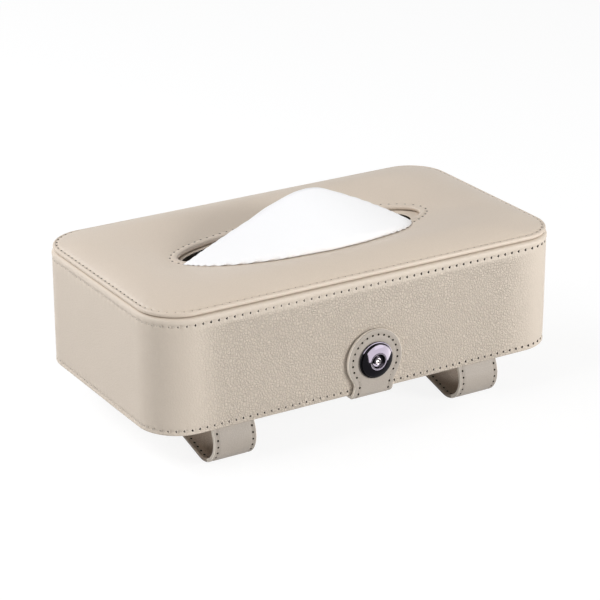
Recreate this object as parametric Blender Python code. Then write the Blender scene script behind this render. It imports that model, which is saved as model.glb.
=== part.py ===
"""Leather car tissue holder: a padded box with an eye-shaped slot, a bottom flap held by a snap tab, and two straps.

The box stands on its strap loops. Lengths are in metres. Pieces are drawn in the box's own frame, where z = 0 is
the wall's bottom edge, and an empty carries that frame to the part's origin, which is centred under everything.
"""

from math import atan2, cos, pi, sin, sqrt

import bmesh
import bpy
from mathutils import Vector

# Driving dimensions of the box
LENGTH = 0.230
DEPTH = 0.1261
WALL_HEIGHT = 0.0590
CORNER_RADIUS = 0.0213
GAP = 0.0003

# Wall: leather over a stiff board, lined inside
WALL_LEATHER = 0.0011
WALL_BOARD = 0.0020
LINING = 0.0006

# Top panel: leather turned round a thin board at the flange and at the slot, foam between
FLANGE_INSET = 0.0005
FLANGE_THICKNESS = 0.0024
TOP_LEATHER = 0.0006
HEM_THICKNESS = 0.0005
HEM_WIDTH = 0.0080
TOP_BOARD = 0.0008
STITCH_INSET = 0.0030
CROWN = 0.0048
SLOT_HALF_LENGTH = 0.0692
SLOT_HALF_WIDTH = 0.0196
SLOT_BAND = 0.0055
FACING_LIP = 0.0020
FACING_WIDTH = 0.0150

# Bottom flap, set into the wall
FLAP_CLEARANCE = 0.0008
FLAP_RECESS = 0.0002
FLAP_LEATHER = 0.0010
FLAP_BOARD = 0.0019
FLAP_LINING = 0.0007
FLAP_HEM = 0.0080
HINGE_STRIP = 0.0007
HINGE_STRIP_LENGTH = 0.180

# Closing tab and magnetic snap
TAB_X = 0.0018
TAB_THICKNESS = 0.0020
TAB_HEAD_RADIUS = 0.0155
TAB_HEAD_HEIGHT = 0.0170
TAB_NECK = 0.0224
TAB_ROOT_LENGTH = 0.0220
CAP_RADIUS = 0.0094
CAP_HEIGHT = 0.0028
MAGNET_RADIUS = 0.0070
MAGNET_THICKNESS = 0.0007
TAB_GAP = 0.00035
SNAP_BORE = 0.0013
SHANK_RADIUS = 0.0010
PLATE_STEM_RADIUS = 0.0015
PLATE_STEM_END = 0.0022
WASHER_RADIUS = 0.0060

# Straps: x of each one's middle, and its path's corners in the y, z plane
STRAP_MIDDLES = {"left": -0.0730, "right": 0.0675}
STRAP_WIDTH = 0.0240
STRAP_THICKNESS = 0.0026
STRAP_INSET = 0.0053
STRAP_TIP = (-0.0679, -0.025655)
STRAP_TIP_RADIUS = 0.0112
STRAP_BEND_RADIUS = 0.020
STRAP_RISE = 0.25
STRAP_END = 0.0460
PATCH_THICKNESS = 0.0010
PATCH_LENGTH = 0.0220
ANCHOR_LENGTH = 0.0200

# Tissues: the stack in the box, and the sheet pulled up through the slot
PACK = (0.190, 0.104, 0.0230)
PACK_CORNER = 0.008
SHEET_PANEL = (0.184, 0.098, 0.0006)
SHEET_FOLD_DEPTH = 0.0009
SHEET_LEAN = 0.0040

# Counts of steps round the shapes
CORNER_STEPS = 6
LONG_STEPS = 8
SHORT_STEPS = 4
TURNED_SIDES = 32
SHEET_SIDES = 40

# Levels worked out from the dimensions above
FLANGE_BOTTOM = WALL_HEIGHT + GAP
FLANGE_TOP = FLANGE_BOTTOM + FLANGE_THICKNESS
WALL_INSIDE = WALL_LEATHER + GAP + WALL_BOARD + GAP + LINING
FLAP_EDGE = WALL_INSIDE + FLAP_CLEARANCE
FLAP_TOP = FLAP_RECESS + FLAP_LEATHER + FLAP_BOARD + 2 * GAP + FLAP_LINING
FRONT = -DEPTH / 2
TAB_BACK = FRONT - TAB_GAP
TAB_FRONT = TAB_BACK - TAB_THICKNESS
CAP_BACK = TAB_FRONT - GAP
PROUD = FRONT - (CAP_BACK - CAP_HEIGHT)

# Plain colours for telling the pieces apart
LEATHER = (0.56, 0.50, 0.43)
LEATHER_DARK = (0.40, 0.35, 0.30)
BOARD = (0.33, 0.27, 0.20)
FOAM = (0.75, 0.72, 0.55)
GUNMETAL = (0.10, 0.09, 0.09)
STEEL = (0.28, 0.28, 0.29)
TAPE = (0.18, 0.16, 0.14)
TISSUE = (0.95, 0.95, 0.96)


def clear_scene():
    for item in list(bpy.data.objects):
        bpy.data.objects.remove(item, do_unlink=True)


def finish(name, colour, roughness, metallic=0.0):
    material = bpy.data.materials.new(name)
    material.use_nodes = True
    shader = material.node_tree.nodes["Principled BSDF"]
    shader.inputs["Base Color"].default_value = (*colour, 1.0)
    shader.inputs["Roughness"].default_value = roughness
    shader.inputs["Metallic"].default_value = metallic
    material.diffuse_color = (*colour, 1.0)
    return material


def add_object(name, points, faces, frame, colour, roughness=0.55, metallic=0.0, sharp=35):
    """A named piece from points in the box's frame; its origin is its frame's."""
    shape = bmesh.new()
    corners = [shape.verts.new(Vector(point) - frame.place) for point in points]
    for face in faces:
        shape.faces.new([corners[index] for index in face])
    bmesh.ops.recalc_face_normals(shape, faces=shape.faces)
    mesh = bpy.data.meshes.new(name)
    shape.to_mesh(mesh)
    shape.free()
    mesh.shade_smooth()
    mesh.set_sharp_from_angle(angle=sharp * pi / 180)
    mesh.materials.append(finish(name, colour, roughness, metallic))
    piece = bpy.data.objects.new(name, mesh)
    bpy.context.collection.objects.link(piece)
    piece.parent = frame.empty
    return piece


class Frame:
    """An empty that carries pieces, set at a place in the box's frame, such as a joint's axis."""

    def __init__(self, name, place, parent=None):
        self.place = Vector(place)
        self.empty = bpy.data.objects.new(name, None)
        bpy.context.collection.objects.link(self.empty)
        if parent is None:
            self.empty.location = self.place
        else:
            self.empty.parent = parent.empty
            self.empty.location = self.place - parent.place


def band_faces(loops, closed):
    """Quads between neighbouring loops, and back from the last to the first when closed."""
    count = len(loops[0])
    pairs = [(row, row + 1) for row in range(len(loops) - 1)]
    if closed:
        pairs.append((len(loops) - 1, 0))
    faces = []
    for low, high in pairs:
        for step in range(count):
            after = (step + 1) % count
            faces.append((low * count + step, low * count + after, high * count + after, high * count + step))
    return faces


def add_ring(name, loops, frame, colour, **look):
    """A closed band whose cross-section is the run of loops."""
    points = [point for loop in loops for point in loop]
    return add_object(name, points, band_faces(loops, True), frame, colour, **look)


def add_stack(name, loops, frame, colour, **look):
    """A solid whose first and last loops are filled."""
    count = len(loops[0])
    points = [point for loop in loops for point in loop]
    faces = band_faces(loops, False)
    faces.append(tuple(range(count)))
    faces.append(tuple((len(loops) - 1) * count + step for step in range(count)))
    return add_object(name, points, faces, frame, colour, **look)


def plan(inset, height, length=LENGTH, depth=DEPTH, radius=CORNER_RADIUS):
    """The rounded rectangle of the box's plan, drawn in by an inset, as a loop at a height."""
    turn = max(radius - inset, 0.0005)
    half_x = length / 2 - inset - turn
    half_y = depth / 2 - inset - turn
    loop = []
    for quarter, (side_x, side_y) in enumerate(((1, 1), (-1, 1), (-1, -1), (1, -1))):
        for step in range(CORNER_STEPS + 1):
            angle = (quarter + step / CORNER_STEPS) * pi / 2
            loop.append((side_x * half_x + turn * cos(angle), side_y * half_y + turn * sin(angle), height))
        steps, along = (LONG_STEPS, (-side_x, 0)) if quarter % 2 == 0 else (SHORT_STEPS, (0, -side_y))
        start = loop[-1]
        run = 2 * half_x if quarter % 2 == 0 else 2 * half_y
        for step in range(1, steps):
            share = step / steps * run
            loop.append((start[0] + along[0] * share, start[1] + along[1] * share, height))
    return loop


def slot_loop(outset, height):
    """The slot's oval, spread by an outset, with as many points as the box's plan and facing them."""
    count = 4 * CORNER_STEPS + 2 * LONG_STEPS + 2 * SHORT_STEPS
    angles = [2 * pi * (step + SHORT_STEPS / 2) / count for step in range(count)]
    return [((SLOT_HALF_LENGTH + outset) * cos(angle), (SLOT_HALF_WIDTH + outset) * sin(angle), height)
            for angle in angles]


def between(outer, inner, share, height):
    """A loop part of the way from one loop to another."""
    return [(a[0] + (b[0] - a[0]) * share, a[1] + (b[1] - a[1]) * share, height) for a, b in zip(outer, inner)]


def crown(share):
    """Height of the padding above the flange: a steep start at the flange, softer towards the slot."""
    rise = 1 - (1 - min(share / 0.62, 1.0)) ** 2.6
    fall = 1 - (1 - min((1 - share) / 0.38, 1.0)) ** 2.2
    return CROWN * rise * fall


def slab(inset, low, high, bevel=0.0, **size):
    """Loops of a flat piece with the box's plan, its edges rounded by a bevel."""
    if not bevel:
        return [plan(inset, low, **size), plan(inset, high, **size)]
    return [plan(inset + bevel, low, **size), plan(inset, low + bevel, **size),
            plan(inset, high - bevel, **size), plan(inset + bevel, high, **size)]


def make_wall(frame):
    """The wall's leather with its turned hems, the board inside it, and the lining."""
    edge = 0.0007
    hem = WALL_LEATHER - 0.0001
    section = [(WALL_INSIDE, 0), (edge, 0), (0, edge), (0, WALL_HEIGHT - edge), (edge, WALL_HEIGHT),
               (WALL_INSIDE, WALL_HEIGHT), (WALL_INSIDE, WALL_HEIGHT - hem), (WALL_LEATHER, WALL_HEIGHT - hem),
               (WALL_LEATHER, hem), (WALL_INSIDE, hem)]
    skin = add_ring("wall_skin", [plan(*point) for point in section], frame, LEATHER)
    board_out = WALL_LEATHER + GAP
    lining_out = board_out + WALL_BOARD + GAP
    low, high = hem + GAP, WALL_HEIGHT - hem - GAP
    board = add_ring("wall_board", rectangle(board_out, lining_out - GAP, low, high), frame, BOARD, roughness=0.9)
    add_ring("wall_lining", rectangle(lining_out, WALL_INSIDE, low, high), frame, LEATHER_DARK, roughness=0.8)
    return skin, board


def rectangle(out, inside, low, high):
    """Loops of a ring with a square section."""
    return [plan(out, low), plan(out, high), plan(inside, high), plan(inside, low)]


def make_top(frame):
    """The top panel: leather turned under at the flange and in the slot, over foam and a thin board."""
    edge = 0.0005
    stitch = FLANGE_INSET + STITCH_INSET
    shares = [0.12, 0.3, 0.5, 0.68, 0.86]
    board_low = FLANGE_BOTTOM + HEM_THICKNESS + 0.00025
    board_high = board_low + TOP_BOARD
    under = FLANGE_TOP - TOP_LEATHER

    def pad(share, drop):
        outer, inner = plan(stitch, 0), slot_loop(SLOT_BAND, 0)
        return between(outer, inner, share, FLANGE_TOP + crown(share) - drop)

    outside = [plan(FLANGE_INSET + HEM_WIDTH, FLANGE_BOTTOM), plan(FLANGE_INSET + edge, FLANGE_BOTTOM),
               plan(FLANGE_INSET, FLANGE_BOTTOM + edge), plan(FLANGE_INSET, FLANGE_TOP - edge),
               plan(FLANGE_INSET + edge, FLANGE_TOP), plan(stitch, FLANGE_TOP)]
    outside += [pad(share, 0) for share in shares]
    outside += [slot_loop(SLOT_BAND, FLANGE_TOP), slot_loop(edge, FLANGE_TOP), slot_loop(0, FLANGE_TOP - edge),
                slot_loop(0, FLANGE_BOTTOM + edge), slot_loop(edge, FLANGE_BOTTOM),
                slot_loop(HEM_WIDTH, FLANGE_BOTTOM)]
    inside = [slot_loop(HEM_WIDTH, FLANGE_BOTTOM + HEM_THICKNESS),
              slot_loop(TOP_LEATHER, FLANGE_BOTTOM + HEM_THICKNESS), slot_loop(TOP_LEATHER, under),
              slot_loop(SLOT_BAND, under)]
    inside += [pad(share, TOP_LEATHER) for share in reversed(shares)]
    inside += [plan(stitch, under), plan(FLANGE_INSET + TOP_LEATHER, under),
               plan(FLANGE_INSET + TOP_LEATHER, FLANGE_BOTTOM + HEM_THICKNESS),
               plan(FLANGE_INSET + HEM_WIDTH, FLANGE_BOTTOM + HEM_THICKNESS)]
    add_ring("top_skin", outside + inside, frame, LEATHER)

    board_edge = FLANGE_INSET + TOP_LEATHER + GAP
    slot_edge = TOP_LEATHER + GAP
    add_ring("top_board", [plan(board_edge, board_low), plan(board_edge, board_high),
                           slot_loop(slot_edge, board_high), slot_loop(slot_edge, board_low)],
             frame, BOARD, roughness=0.9)

    foam_low = board_high + GAP
    rim_shares = [0.08] + shares[:-1] + [0.94]
    foam = [between(plan(stitch, 0), slot_loop(SLOT_BAND, 0), rim_shares[0], foam_low)]
    foam += [pad(share, TOP_LEATHER + 2 * GAP) for share in rim_shares[:1] + shares + rim_shares[-1:]]
    foam += [between(plan(stitch, 0), slot_loop(SLOT_BAND, 0), rim_shares[-1], foam_low)]
    add_ring("top_foam", foam, frame, FOAM, roughness=0.95)

    lining_low, lining_high = FLANGE_BOTTOM, FLANGE_BOTTOM + HEM_THICKNESS
    lining_out, lining_in = FLANGE_INSET + HEM_WIDTH + GAP, HEM_WIDTH + GAP
    add_ring("top_lining", [plan(lining_out, lining_low), plan(lining_out, lining_high),
                            slot_loop(lining_in, lining_high), slot_loop(lining_in, lining_low)],
             frame, LEATHER_DARK, roughness=0.8)

    facing_high = FLANGE_BOTTOM - GAP
    facing_low = facing_high - 0.0008
    add_ring("slot_facing", [slot_loop(FACING_WIDTH, facing_low), slot_loop(FACING_WIDTH, facing_high),
                             slot_loop(-FACING_LIP, facing_high), slot_loop(-FACING_LIP, facing_low)],
             frame, LEATHER)


def make_flap(frame):
    """The bottom flap: a leather tray turned over a board, its lining, and the strip that hinges it."""
    edge = 0.0006
    low, hem_low = FLAP_RECESS, FLAP_TOP - FLAP_LINING
    inner = FLAP_EDGE + FLAP_LEATHER
    tray = [plan(FLAP_EDGE + edge, low), plan(FLAP_EDGE, low + edge), plan(FLAP_EDGE, FLAP_TOP - edge),
            plan(FLAP_EDGE + edge, FLAP_TOP), plan(FLAP_EDGE + FLAP_HEM, FLAP_TOP),
            plan(FLAP_EDGE + FLAP_HEM, hem_low), plan(inner, hem_low), plan(inner, low + FLAP_LEATHER)]
    add_stack("flap_skin", tray, frame, LEATHER)
    board_low = low + FLAP_LEATHER + GAP
    add_stack("flap_board", slab(inner + GAP, board_low, board_low + FLAP_BOARD), frame, BOARD, roughness=0.9)
    add_stack("flap_lining", slab(FLAP_EDGE + FLAP_HEM + GAP, hem_low, FLAP_TOP), frame, LEATHER_DARK,
              roughness=0.8)
    middle = DEPTH / 2 - WALL_INSIDE
    add_box("flap_hinge_strip", (-HINGE_STRIP_LENGTH / 2, middle - 0.008, -GAP - HINGE_STRIP),
            (HINGE_STRIP_LENGTH / 2, DEPTH / 2 - 0.0008, -GAP), frame, LEATHER)


def add_box(name, low, high, frame, colour, round_corner=0.0, **look):
    """A flat block between two corners, with its plan's corners rounded."""
    size = [b - a for a, b in zip(low, high)]
    middle = [(a + b) / 2 for a, b in zip(low, high)]
    turn = max(round_corner, 0.0004)
    loops = []
    for height in (low[2], high[2]):
        loop = []
        for quarter, (side_x, side_y) in enumerate(((1, 1), (-1, 1), (-1, -1), (1, -1))):
            for step in range(5):
                angle = (quarter + step / 4) * pi / 2
                loop.append((middle[0] + side_x * (size[0] / 2 - turn) + turn * cos(angle),
                             middle[1] + side_y * (size[1] / 2 - turn) + turn * sin(angle), height))
        loops.append(loop)
    return add_stack(name, loops, frame, colour, **look)


def rounded_path(corners, radii, arc_steps=7):
    """Points along straight runs joined by arcs, from corners in the y, z plane."""
    path = [Vector(corners[0])]
    for index, radius in enumerate(radii):
        before, corner, after = (Vector(corners[index + shift]) for shift in range(3))
        way_in, way_out = (corner - before).normalized(), (after - corner).normalized()
        turn = way_in.angle_signed(way_out)
        side = 1 if way_in.x * way_out.y - way_in.y * way_out.x > 0 else -1
        centre = corner + (way_out - way_in).normalized() * (radius / cos(abs(turn) / 2))
        normal = Vector((way_in.y, -way_in.x)) * side
        for step in range(arc_steps + 1):
            angle = side * abs(turn) * step / arc_steps
            path.append(centre + radius * Vector((normal.x * cos(angle) - normal.y * sin(angle),
                                                  normal.x * sin(angle) + normal.y * cos(angle))))
    path.append(Vector(corners[-1]))
    return path


def path_normals(path):
    """The unit normal on the left of the way along, at each point of a path."""
    normals = []
    for index, point in enumerate(path):
        way = path[min(index + 1, len(path) - 1)] - path[max(index - 1, 0)]
        normals.append(Vector((-way.y, way.x)).normalized())
    return normals


def add_strip(name, path, near, far, widths, middle, frame, colour, knuckle=False, **look):
    """A leather strip along a path in the y, z plane, from one distance off the path to another.

    With a knuckle the strip starts with a round end about the path's first point, where it folds.
    """
    normals = path_normals(path)
    sections = []
    if knuckle:
        outward = normals[0] * (1 if far > 0 else -1)
        for step in range(8):
            angle = (pi - pi * step / 8) * (1 if far > 0 else -1)
            spoke = Vector((outward.x * cos(angle) - outward.y * sin(angle),
                            outward.x * sin(angle) + outward.y * cos(angle)))
            sections.append((path[0] + spoke * abs(near), path[0] + spoke * abs(far), widths[0]))
    for point, normal, width in zip(path, normals, widths):
        sections.append((point + normal * near, point + normal * far, width))
    loops = []
    for inner, outer, width in sections:
        loops.append([(middle - width / 2, *inner), (middle + width / 2, *inner),
                      (middle + width / 2, *outer), (middle - width / 2, *outer)])
    return add_stack(name, loops, frame, colour, **look)


def add_turned(name, profile, centre, frame, colour, bore=False, **look):
    """A turned piece about a line along y: profile points are radius and distance out from the wall."""
    loops = []
    for radius, out in profile:
        loops.append([(centre[0] + radius * cos(2 * pi * step / TURNED_SIDES), centre[1] - out,
                       centre[2] + radius * sin(2 * pi * step / TURNED_SIDES)) for step in range(TURNED_SIDES)])
    build = add_ring if bore else add_stack
    return build(name, loops, frame, colour, sharp=40, **look)


def cut_round_hole(piece, centre, radius, length, frame):
    """A round hole along y, cut with a hidden cylinder."""
    profile = [(radius, -length / 2), (radius, length / 2)]
    cutter = add_turned(piece.name + "_hole_guide", profile, centre, frame, STEEL)
    cutter.hide_render = True
    cutter.display_type = "WIRE"
    cut = piece.modifiers.new("hole", "BOOLEAN")
    cut.operation = "DIFFERENCE"
    cut.solver = "EXACT"
    cut.object = cutter


def make_tab(flap, tab):
    """The closing tab: its sewn root under the flap, and the folded-up tab of two leathers."""
    half = TAB_THICKNESS / 2
    fold = Vector((TAB_BACK - half, tab.place.z))
    top = TAB_HEAD_HEIGHT + TAB_HEAD_RADIUS
    waist = TAB_HEAD_HEIGHT - sqrt(TAB_HEAD_RADIUS ** 2 - (TAB_NECK / 2 + 0.001) ** 2)
    lead = [(fold.y, TAB_NECK + 0.0010), (fold.y + 2 * GAP, TAB_NECK + 0.0008), (fold.y + 0.0030, TAB_NECK),
            (waist - 0.0022, TAB_NECK), (waist - 0.0007, TAB_NECK + 0.0006)]
    head = []
    first = atan2(waist - TAB_HEAD_HEIGHT, TAB_NECK / 2 + 0.001)
    for step in range(15):
        angle = first + (pi / 2 - 0.06 - first) * step / 14
        head.append((TAB_HEAD_HEIGHT + TAB_HEAD_RADIUS * sin(angle), 2 * TAB_HEAD_RADIUS * cos(angle)))
    outline = lead + head + [(top, 0.0012)]
    path = [Vector((fold.x, height)) for height, _ in outline]
    widths = [width for _, width in outline]
    skin = add_strip("tab_skin", path, GAP / 2, half, widths, TAB_X, tab, LEATHER_DARK, knuckle=True)
    backing = add_strip("tab_backing", path[1:], -GAP / 2, -half, widths[1:], TAB_X, tab, LEATHER_DARK)
    root_front, root_half = TAB_BACK + GAP + 0.0001, TAB_NECK / 2 + 0.0005
    add_box("tab_root", (TAB_X - root_half, root_front, fold.y - half + 0.0001),
            (TAB_X + root_half, root_front + TAB_ROOT_LENGTH, -GAP), flap, LEATHER_DARK, round_corner=0.0012)
    return skin, backing


def make_snap(case, tab, tab_skin, tab_backing, wall_skin, wall_board):
    """The magnetic snap: cap, rivet and magnet on the tab, and a flush plate with its washer in the wall."""
    height = TAB_HEAD_HEIGHT
    on_tab = (TAB_X, CAP_BACK, height)
    rim, well = 0.0008, 0.0012
    dome = [(SNAP_BORE, 0), (CAP_RADIUS - 0.0007, 0), (CAP_RADIUS, rim / 2), (CAP_RADIUS - 0.0002, rim)]
    for share in (0.90, 0.78, 0.62, 0.48):
        dome.append((CAP_RADIUS * share, rim + (CAP_HEIGHT - rim) * sqrt(1 - share ** 2)))
    dome += [(0.0040, CAP_HEIGHT), (0.0036, CAP_HEIGHT - 0.0002), (0.0034, well), (SNAP_BORE, well)]
    add_turned("snap_cap", dome, on_tab, tab, GUNMETAL, bore=True, roughness=0.15, metallic=1.0)
    head = well + GAP
    rivet = [(0.0003, head + 0.0005), (0.0010, head + 0.0004), (0.0016, head + 0.0002), (0.0017, head),
             (SHANK_RADIUS, head), (SHANK_RADIUS, -TAB_THICKNESS - GAP)]
    add_turned("snap_rivet", rivet, on_tab, tab, GUNMETAL, roughness=0.2, metallic=1.0)
    magnet = [(SNAP_BORE, 0), (MAGNET_RADIUS, 0), (MAGNET_RADIUS, MAGNET_THICKNESS), (SNAP_BORE, MAGNET_THICKNESS)]
    add_turned("snap_magnet", magnet, (TAB_X, TAB_BACK - 0.00005, height), tab, STEEL, bore=True, roughness=0.4,
               metallic=1.0)
    cut_round_hole(tab_skin, (TAB_X, TAB_FRONT, height), SNAP_BORE, 2 * TAB_THICKNESS, tab)
    cut_round_hole(tab_backing, (TAB_X, TAB_BACK, height), MAGNET_RADIUS + GAP, 2 * TAB_THICKNESS, tab)

    plate_depth = WALL_LEATHER - 0.0002
    board_front = FRONT + WALL_LEATHER + GAP
    centre = 0.0002
    plate = [(centre, 0), (MAGNET_RADIUS, 0), (MAGNET_RADIUS, -plate_depth), (PLATE_STEM_RADIUS, -plate_depth),
             (PLATE_STEM_RADIUS, -PLATE_STEM_END), (centre, -PLATE_STEM_END)]
    add_turned("snap_plate", plate, (TAB_X, FRONT, height), case, STEEL, roughness=0.35, metallic=1.0)
    washer_bore, washer_depth = PLATE_STEM_RADIUS + GAP, 0.0010
    washer = [(washer_bore, 0), (WASHER_RADIUS, 0), (WASHER_RADIUS, -washer_depth), (washer_bore, -washer_depth)]
    add_turned("snap_washer", washer, (TAB_X, board_front + 0.0002, height), case, STEEL, bore=True, roughness=0.4,
               metallic=1.0)
    cut_round_hole(wall_skin, (TAB_X, FRONT, height), MAGNET_RADIUS + GAP, 2 * (WALL_LEATHER + GAP / 2), case)
    cut_round_hole(wall_board, (TAB_X, board_front + WALL_BOARD / 2, height), WASHER_RADIUS + GAP, WALL_BOARD + GAP,
                   case)


def strap_path(fold):
    """The strap's middle line: down from its fold, round the tip, back up under the box and flat along it."""
    flat = FLAP_RECESS - 3 * GAP - 2 * PATCH_THICKNESS - STRAP_THICKNESS / 2
    meet = STRAP_TIP[0] + (flat - STRAP_TIP[1]) / STRAP_RISE
    corners = [tuple(fold), STRAP_TIP, (meet, flat), (STRAP_END, flat)]
    return rounded_path(corners, (STRAP_TIP_RADIUS, STRAP_BEND_RADIUS))


def make_strap(side, middle, flap, strap):
    """One strap: its sewn anchor, two leathers, and the hook and loop patches that close it."""
    half = STRAP_THICKNESS / 2
    fold = Vector((strap.place.y, strap.place.z))
    path = strap_path(fold)
    widths = [STRAP_WIDTH] * len(path)
    add_strip(side + "_strap_skin", path, -GAP / 2, -half, widths, middle, strap, LEATHER_DARK, knuckle=True)
    start = path[0] + (path[1] - path[0]).normalized() * 2 * GAP
    add_strip(side + "_strap_backing", [start] + path[1:], GAP / 2, half, widths, middle, strap, LEATHER_DARK)
    anchor_front = fold.x + half + GAP
    add_box(side + "_strap_anchor", (middle - STRAP_WIDTH / 2, anchor_front, fold.y - half),
            (middle + STRAP_WIDTH / 2, anchor_front + ANCHOR_LENGTH, FLAP_RECESS - GAP), flap, LEATHER_DARK,
            round_corner=0.0012)
    patch_x = STRAP_WIDTH / 2 - 0.002
    patch_front = STRAP_END - 0.002 - PATCH_LENGTH
    loop_top = FLAP_RECESS - GAP
    for name, top, owner in ((side + "_loop_patch", loop_top, flap),
                             (side + "_hook_patch", loop_top - PATCH_THICKNESS - GAP, strap)):
        add_box(name, (middle - patch_x, patch_front, top - PATCH_THICKNESS),
                (middle + patch_x, patch_front + PATCH_LENGTH, top), owner, TAPE, round_corner=0.002,
                roughness=0.95)


def make_tissues(case, sheet):
    """The stack of tissues in the box, and the sheet that stands up through the slot."""
    length, depth, height = PACK
    low = FLAP_TOP + GAP
    size = {"length": length, "depth": depth, "radius": PACK_CORNER}
    add_stack("tissue_pack", slab(0, low, low + height, bevel=0.003, **size), case, TISSUE, roughness=0.9)
    # Each level of the pulled sheet above its panel: height, left end, right end, front swell, back swell
    panel_low = low + height + GAP
    panel_high = panel_low + SHEET_PANEL[2]
    neck_low = panel_high + 0.0004
    levels = ((neck_low, -0.056, 0.054, 0.0040, 0.0025), (0.0480, -0.060, 0.056, 0.0080, 0.0040),
              (0.0585, -0.0640, 0.0570, 0.0130, 0.0058), (0.0620, -0.0655, 0.0575, 0.0160, 0.0068),
              (0.0628, -0.0700, 0.0570, 0.0240, 0.0072), (0.0645, -0.0660, 0.0520, 0.0262, 0.0072),
              (0.0680, -0.0570, 0.0450, 0.0240, 0.0066), (0.0720, -0.0460, 0.0372, 0.0195, 0.0056),
              (0.0760, -0.0338, 0.0296, 0.0143, 0.0044), (0.0800, -0.0215, 0.0220, 0.0090, 0.0032),
              (0.0832, -0.0125, 0.0155, 0.0046, 0.0022), (0.0846, -0.0085, 0.0110, 0.0014, 0.0010))
    slot_level, rise = levels[2][0], levels[-1][0] - levels[2][0]
    loops = [sheet_panel_loop(panel_low), sheet_panel_loop(panel_high)]
    for level, left, right, front, back in levels:
        middle, half = (left + right) / 2, (right - left) / 2
        loop = []
        for step in range(SHEET_SIDES):
            angle = 2 * pi * step / SHEET_SIDES
            swell = back if sin(angle) > 0 else front
            fold = SHEET_FOLD_DEPTH * sin(9 * angle + level * 60) * min(swell / 0.01, 1.0) * abs(sin(angle))
            lean = -SHEET_LEAN * sin(pi * min(max((level - slot_level) / rise, 0), 1)) * cos(angle) ** 2
            loop.append((middle + half * cos(angle), (swell + fold) * sin(angle) + lean, level))
        loops.append(loop)
    add_stack("pulled_tissue", loops, sheet, TISSUE, roughness=0.9, sharp=60)


def sheet_panel_loop(height):
    """The outline of the sheet's lower half, which still lies on the stack: a rectangle with round corners."""
    loop = []
    for step in range(SHEET_SIDES):
        across, along = cos(2 * pi * step / SHEET_SIDES), sin(2 * pi * step / SHEET_SIDES)
        reach = (abs(across) ** 8 + abs(along) ** 8) ** (-1 / 8)
        loop.append((SHEET_PANEL[0] / 2 * across * reach, SHEET_PANEL[1] / 2 * along * reach, height))
    return loop


def lowest_strap_level():
    """How far the strap's outer face hangs below the wall's bottom edge."""
    path = strap_path(strap_fold())
    normals = path_normals(path)
    return min((point - normal * STRAP_THICKNESS / 2).y for point, normal in zip(path, normals))


def strap_fold():
    half = STRAP_THICKNESS / 2
    return Vector((FRONT + STRAP_INSET, -GAP - half))


def main():
    clear_scene()
    origin = Frame("tissue_holder_frame", (0, 0, 0))
    origin.empty.location = (0, PROUD / 2, -lowest_strap_level())
    case = Frame("case_frame", (0, 0, 0), origin)
    hinge_y = DEPTH / 2 - WALL_INSIDE - FLAP_CLEARANCE / 2
    flap = Frame("flap_hinge_axis", (0, hinge_y, -GAP - HINGE_STRIP / 2), origin)
    tab = Frame("tab_fold_axis", (TAB_X, TAB_BACK - TAB_THICKNESS / 2, -GAP - TAB_THICKNESS / 2), flap)
    sheet = Frame("tissue_guide", (0, 0, FLANGE_TOP), case)
    wall_skin, wall_board = make_wall(case)
    make_top(case)
    make_flap(flap)
    tab_skin, tab_backing = make_tab(flap, tab)
    make_snap(case, tab, tab_skin, tab_backing, wall_skin, wall_board)
    fold = strap_fold()
    for side, middle in STRAP_MIDDLES.items():
        strap = Frame(side + "_strap_axis", (middle, fold.x, fold.y), flap)
        make_strap(side, middle, flap, strap)
    make_tissues(case, sheet)


main()
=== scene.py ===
"""Looks of the leather tissue holder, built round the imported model. Lengths are in metres."""

from bisect import bisect_right
from math import atan2, cos, exp, pi, radians, sin, sqrt, tan

import bmesh
import bpy
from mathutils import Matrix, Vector, noise
from mathutils.bvhtree import BVHTree


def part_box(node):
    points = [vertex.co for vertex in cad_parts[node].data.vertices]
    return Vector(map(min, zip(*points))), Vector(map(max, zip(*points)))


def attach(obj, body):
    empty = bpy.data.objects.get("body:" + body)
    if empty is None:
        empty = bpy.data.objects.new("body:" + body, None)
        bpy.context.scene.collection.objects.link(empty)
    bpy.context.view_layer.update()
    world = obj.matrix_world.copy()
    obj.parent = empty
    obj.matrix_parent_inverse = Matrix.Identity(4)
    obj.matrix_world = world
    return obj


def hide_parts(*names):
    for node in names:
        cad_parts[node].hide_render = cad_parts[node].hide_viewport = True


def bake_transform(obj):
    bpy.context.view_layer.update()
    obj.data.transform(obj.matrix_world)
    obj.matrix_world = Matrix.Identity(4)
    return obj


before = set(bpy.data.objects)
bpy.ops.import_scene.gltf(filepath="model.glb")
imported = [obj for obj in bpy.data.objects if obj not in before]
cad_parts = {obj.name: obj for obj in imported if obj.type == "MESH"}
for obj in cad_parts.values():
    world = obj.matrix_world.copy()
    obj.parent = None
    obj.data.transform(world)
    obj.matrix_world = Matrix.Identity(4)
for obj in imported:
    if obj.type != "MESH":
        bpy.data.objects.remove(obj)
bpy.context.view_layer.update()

# The camera has a long lens and stands left of the front, a little above the holder. The small shift is the
# photograph's own framing.
CAMERA_AZIMUTH = radians(-31.32)
CAMERA_ELEVATION = radians(21.93)
CAMERA_DISTANCE = 1.154
CAMERA_AIM = Vector((0, 0.0027, 0.0514))
camera = bpy.data.objects.new("camera", bpy.data.cameras.new("camera"))
camera.data.sensor_width = 36
camera.data.lens = 137.8
camera.data.shift_x = -0.0031
camera.data.shift_y = -0.0120
way_back = Vector((sin(CAMERA_AZIMUTH) * cos(CAMERA_ELEVATION), -cos(CAMERA_AZIMUTH) * cos(CAMERA_ELEVATION),
                   sin(CAMERA_ELEVATION)))
camera.location = CAMERA_AIM + way_back * CAMERA_DISTANCE
camera.rotation_euler = (-way_back).to_track_quat("-Z", "Y").to_euler()
bpy.context.scene.collection.objects.link(camera)
bpy.context.scene.camera = camera


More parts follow.
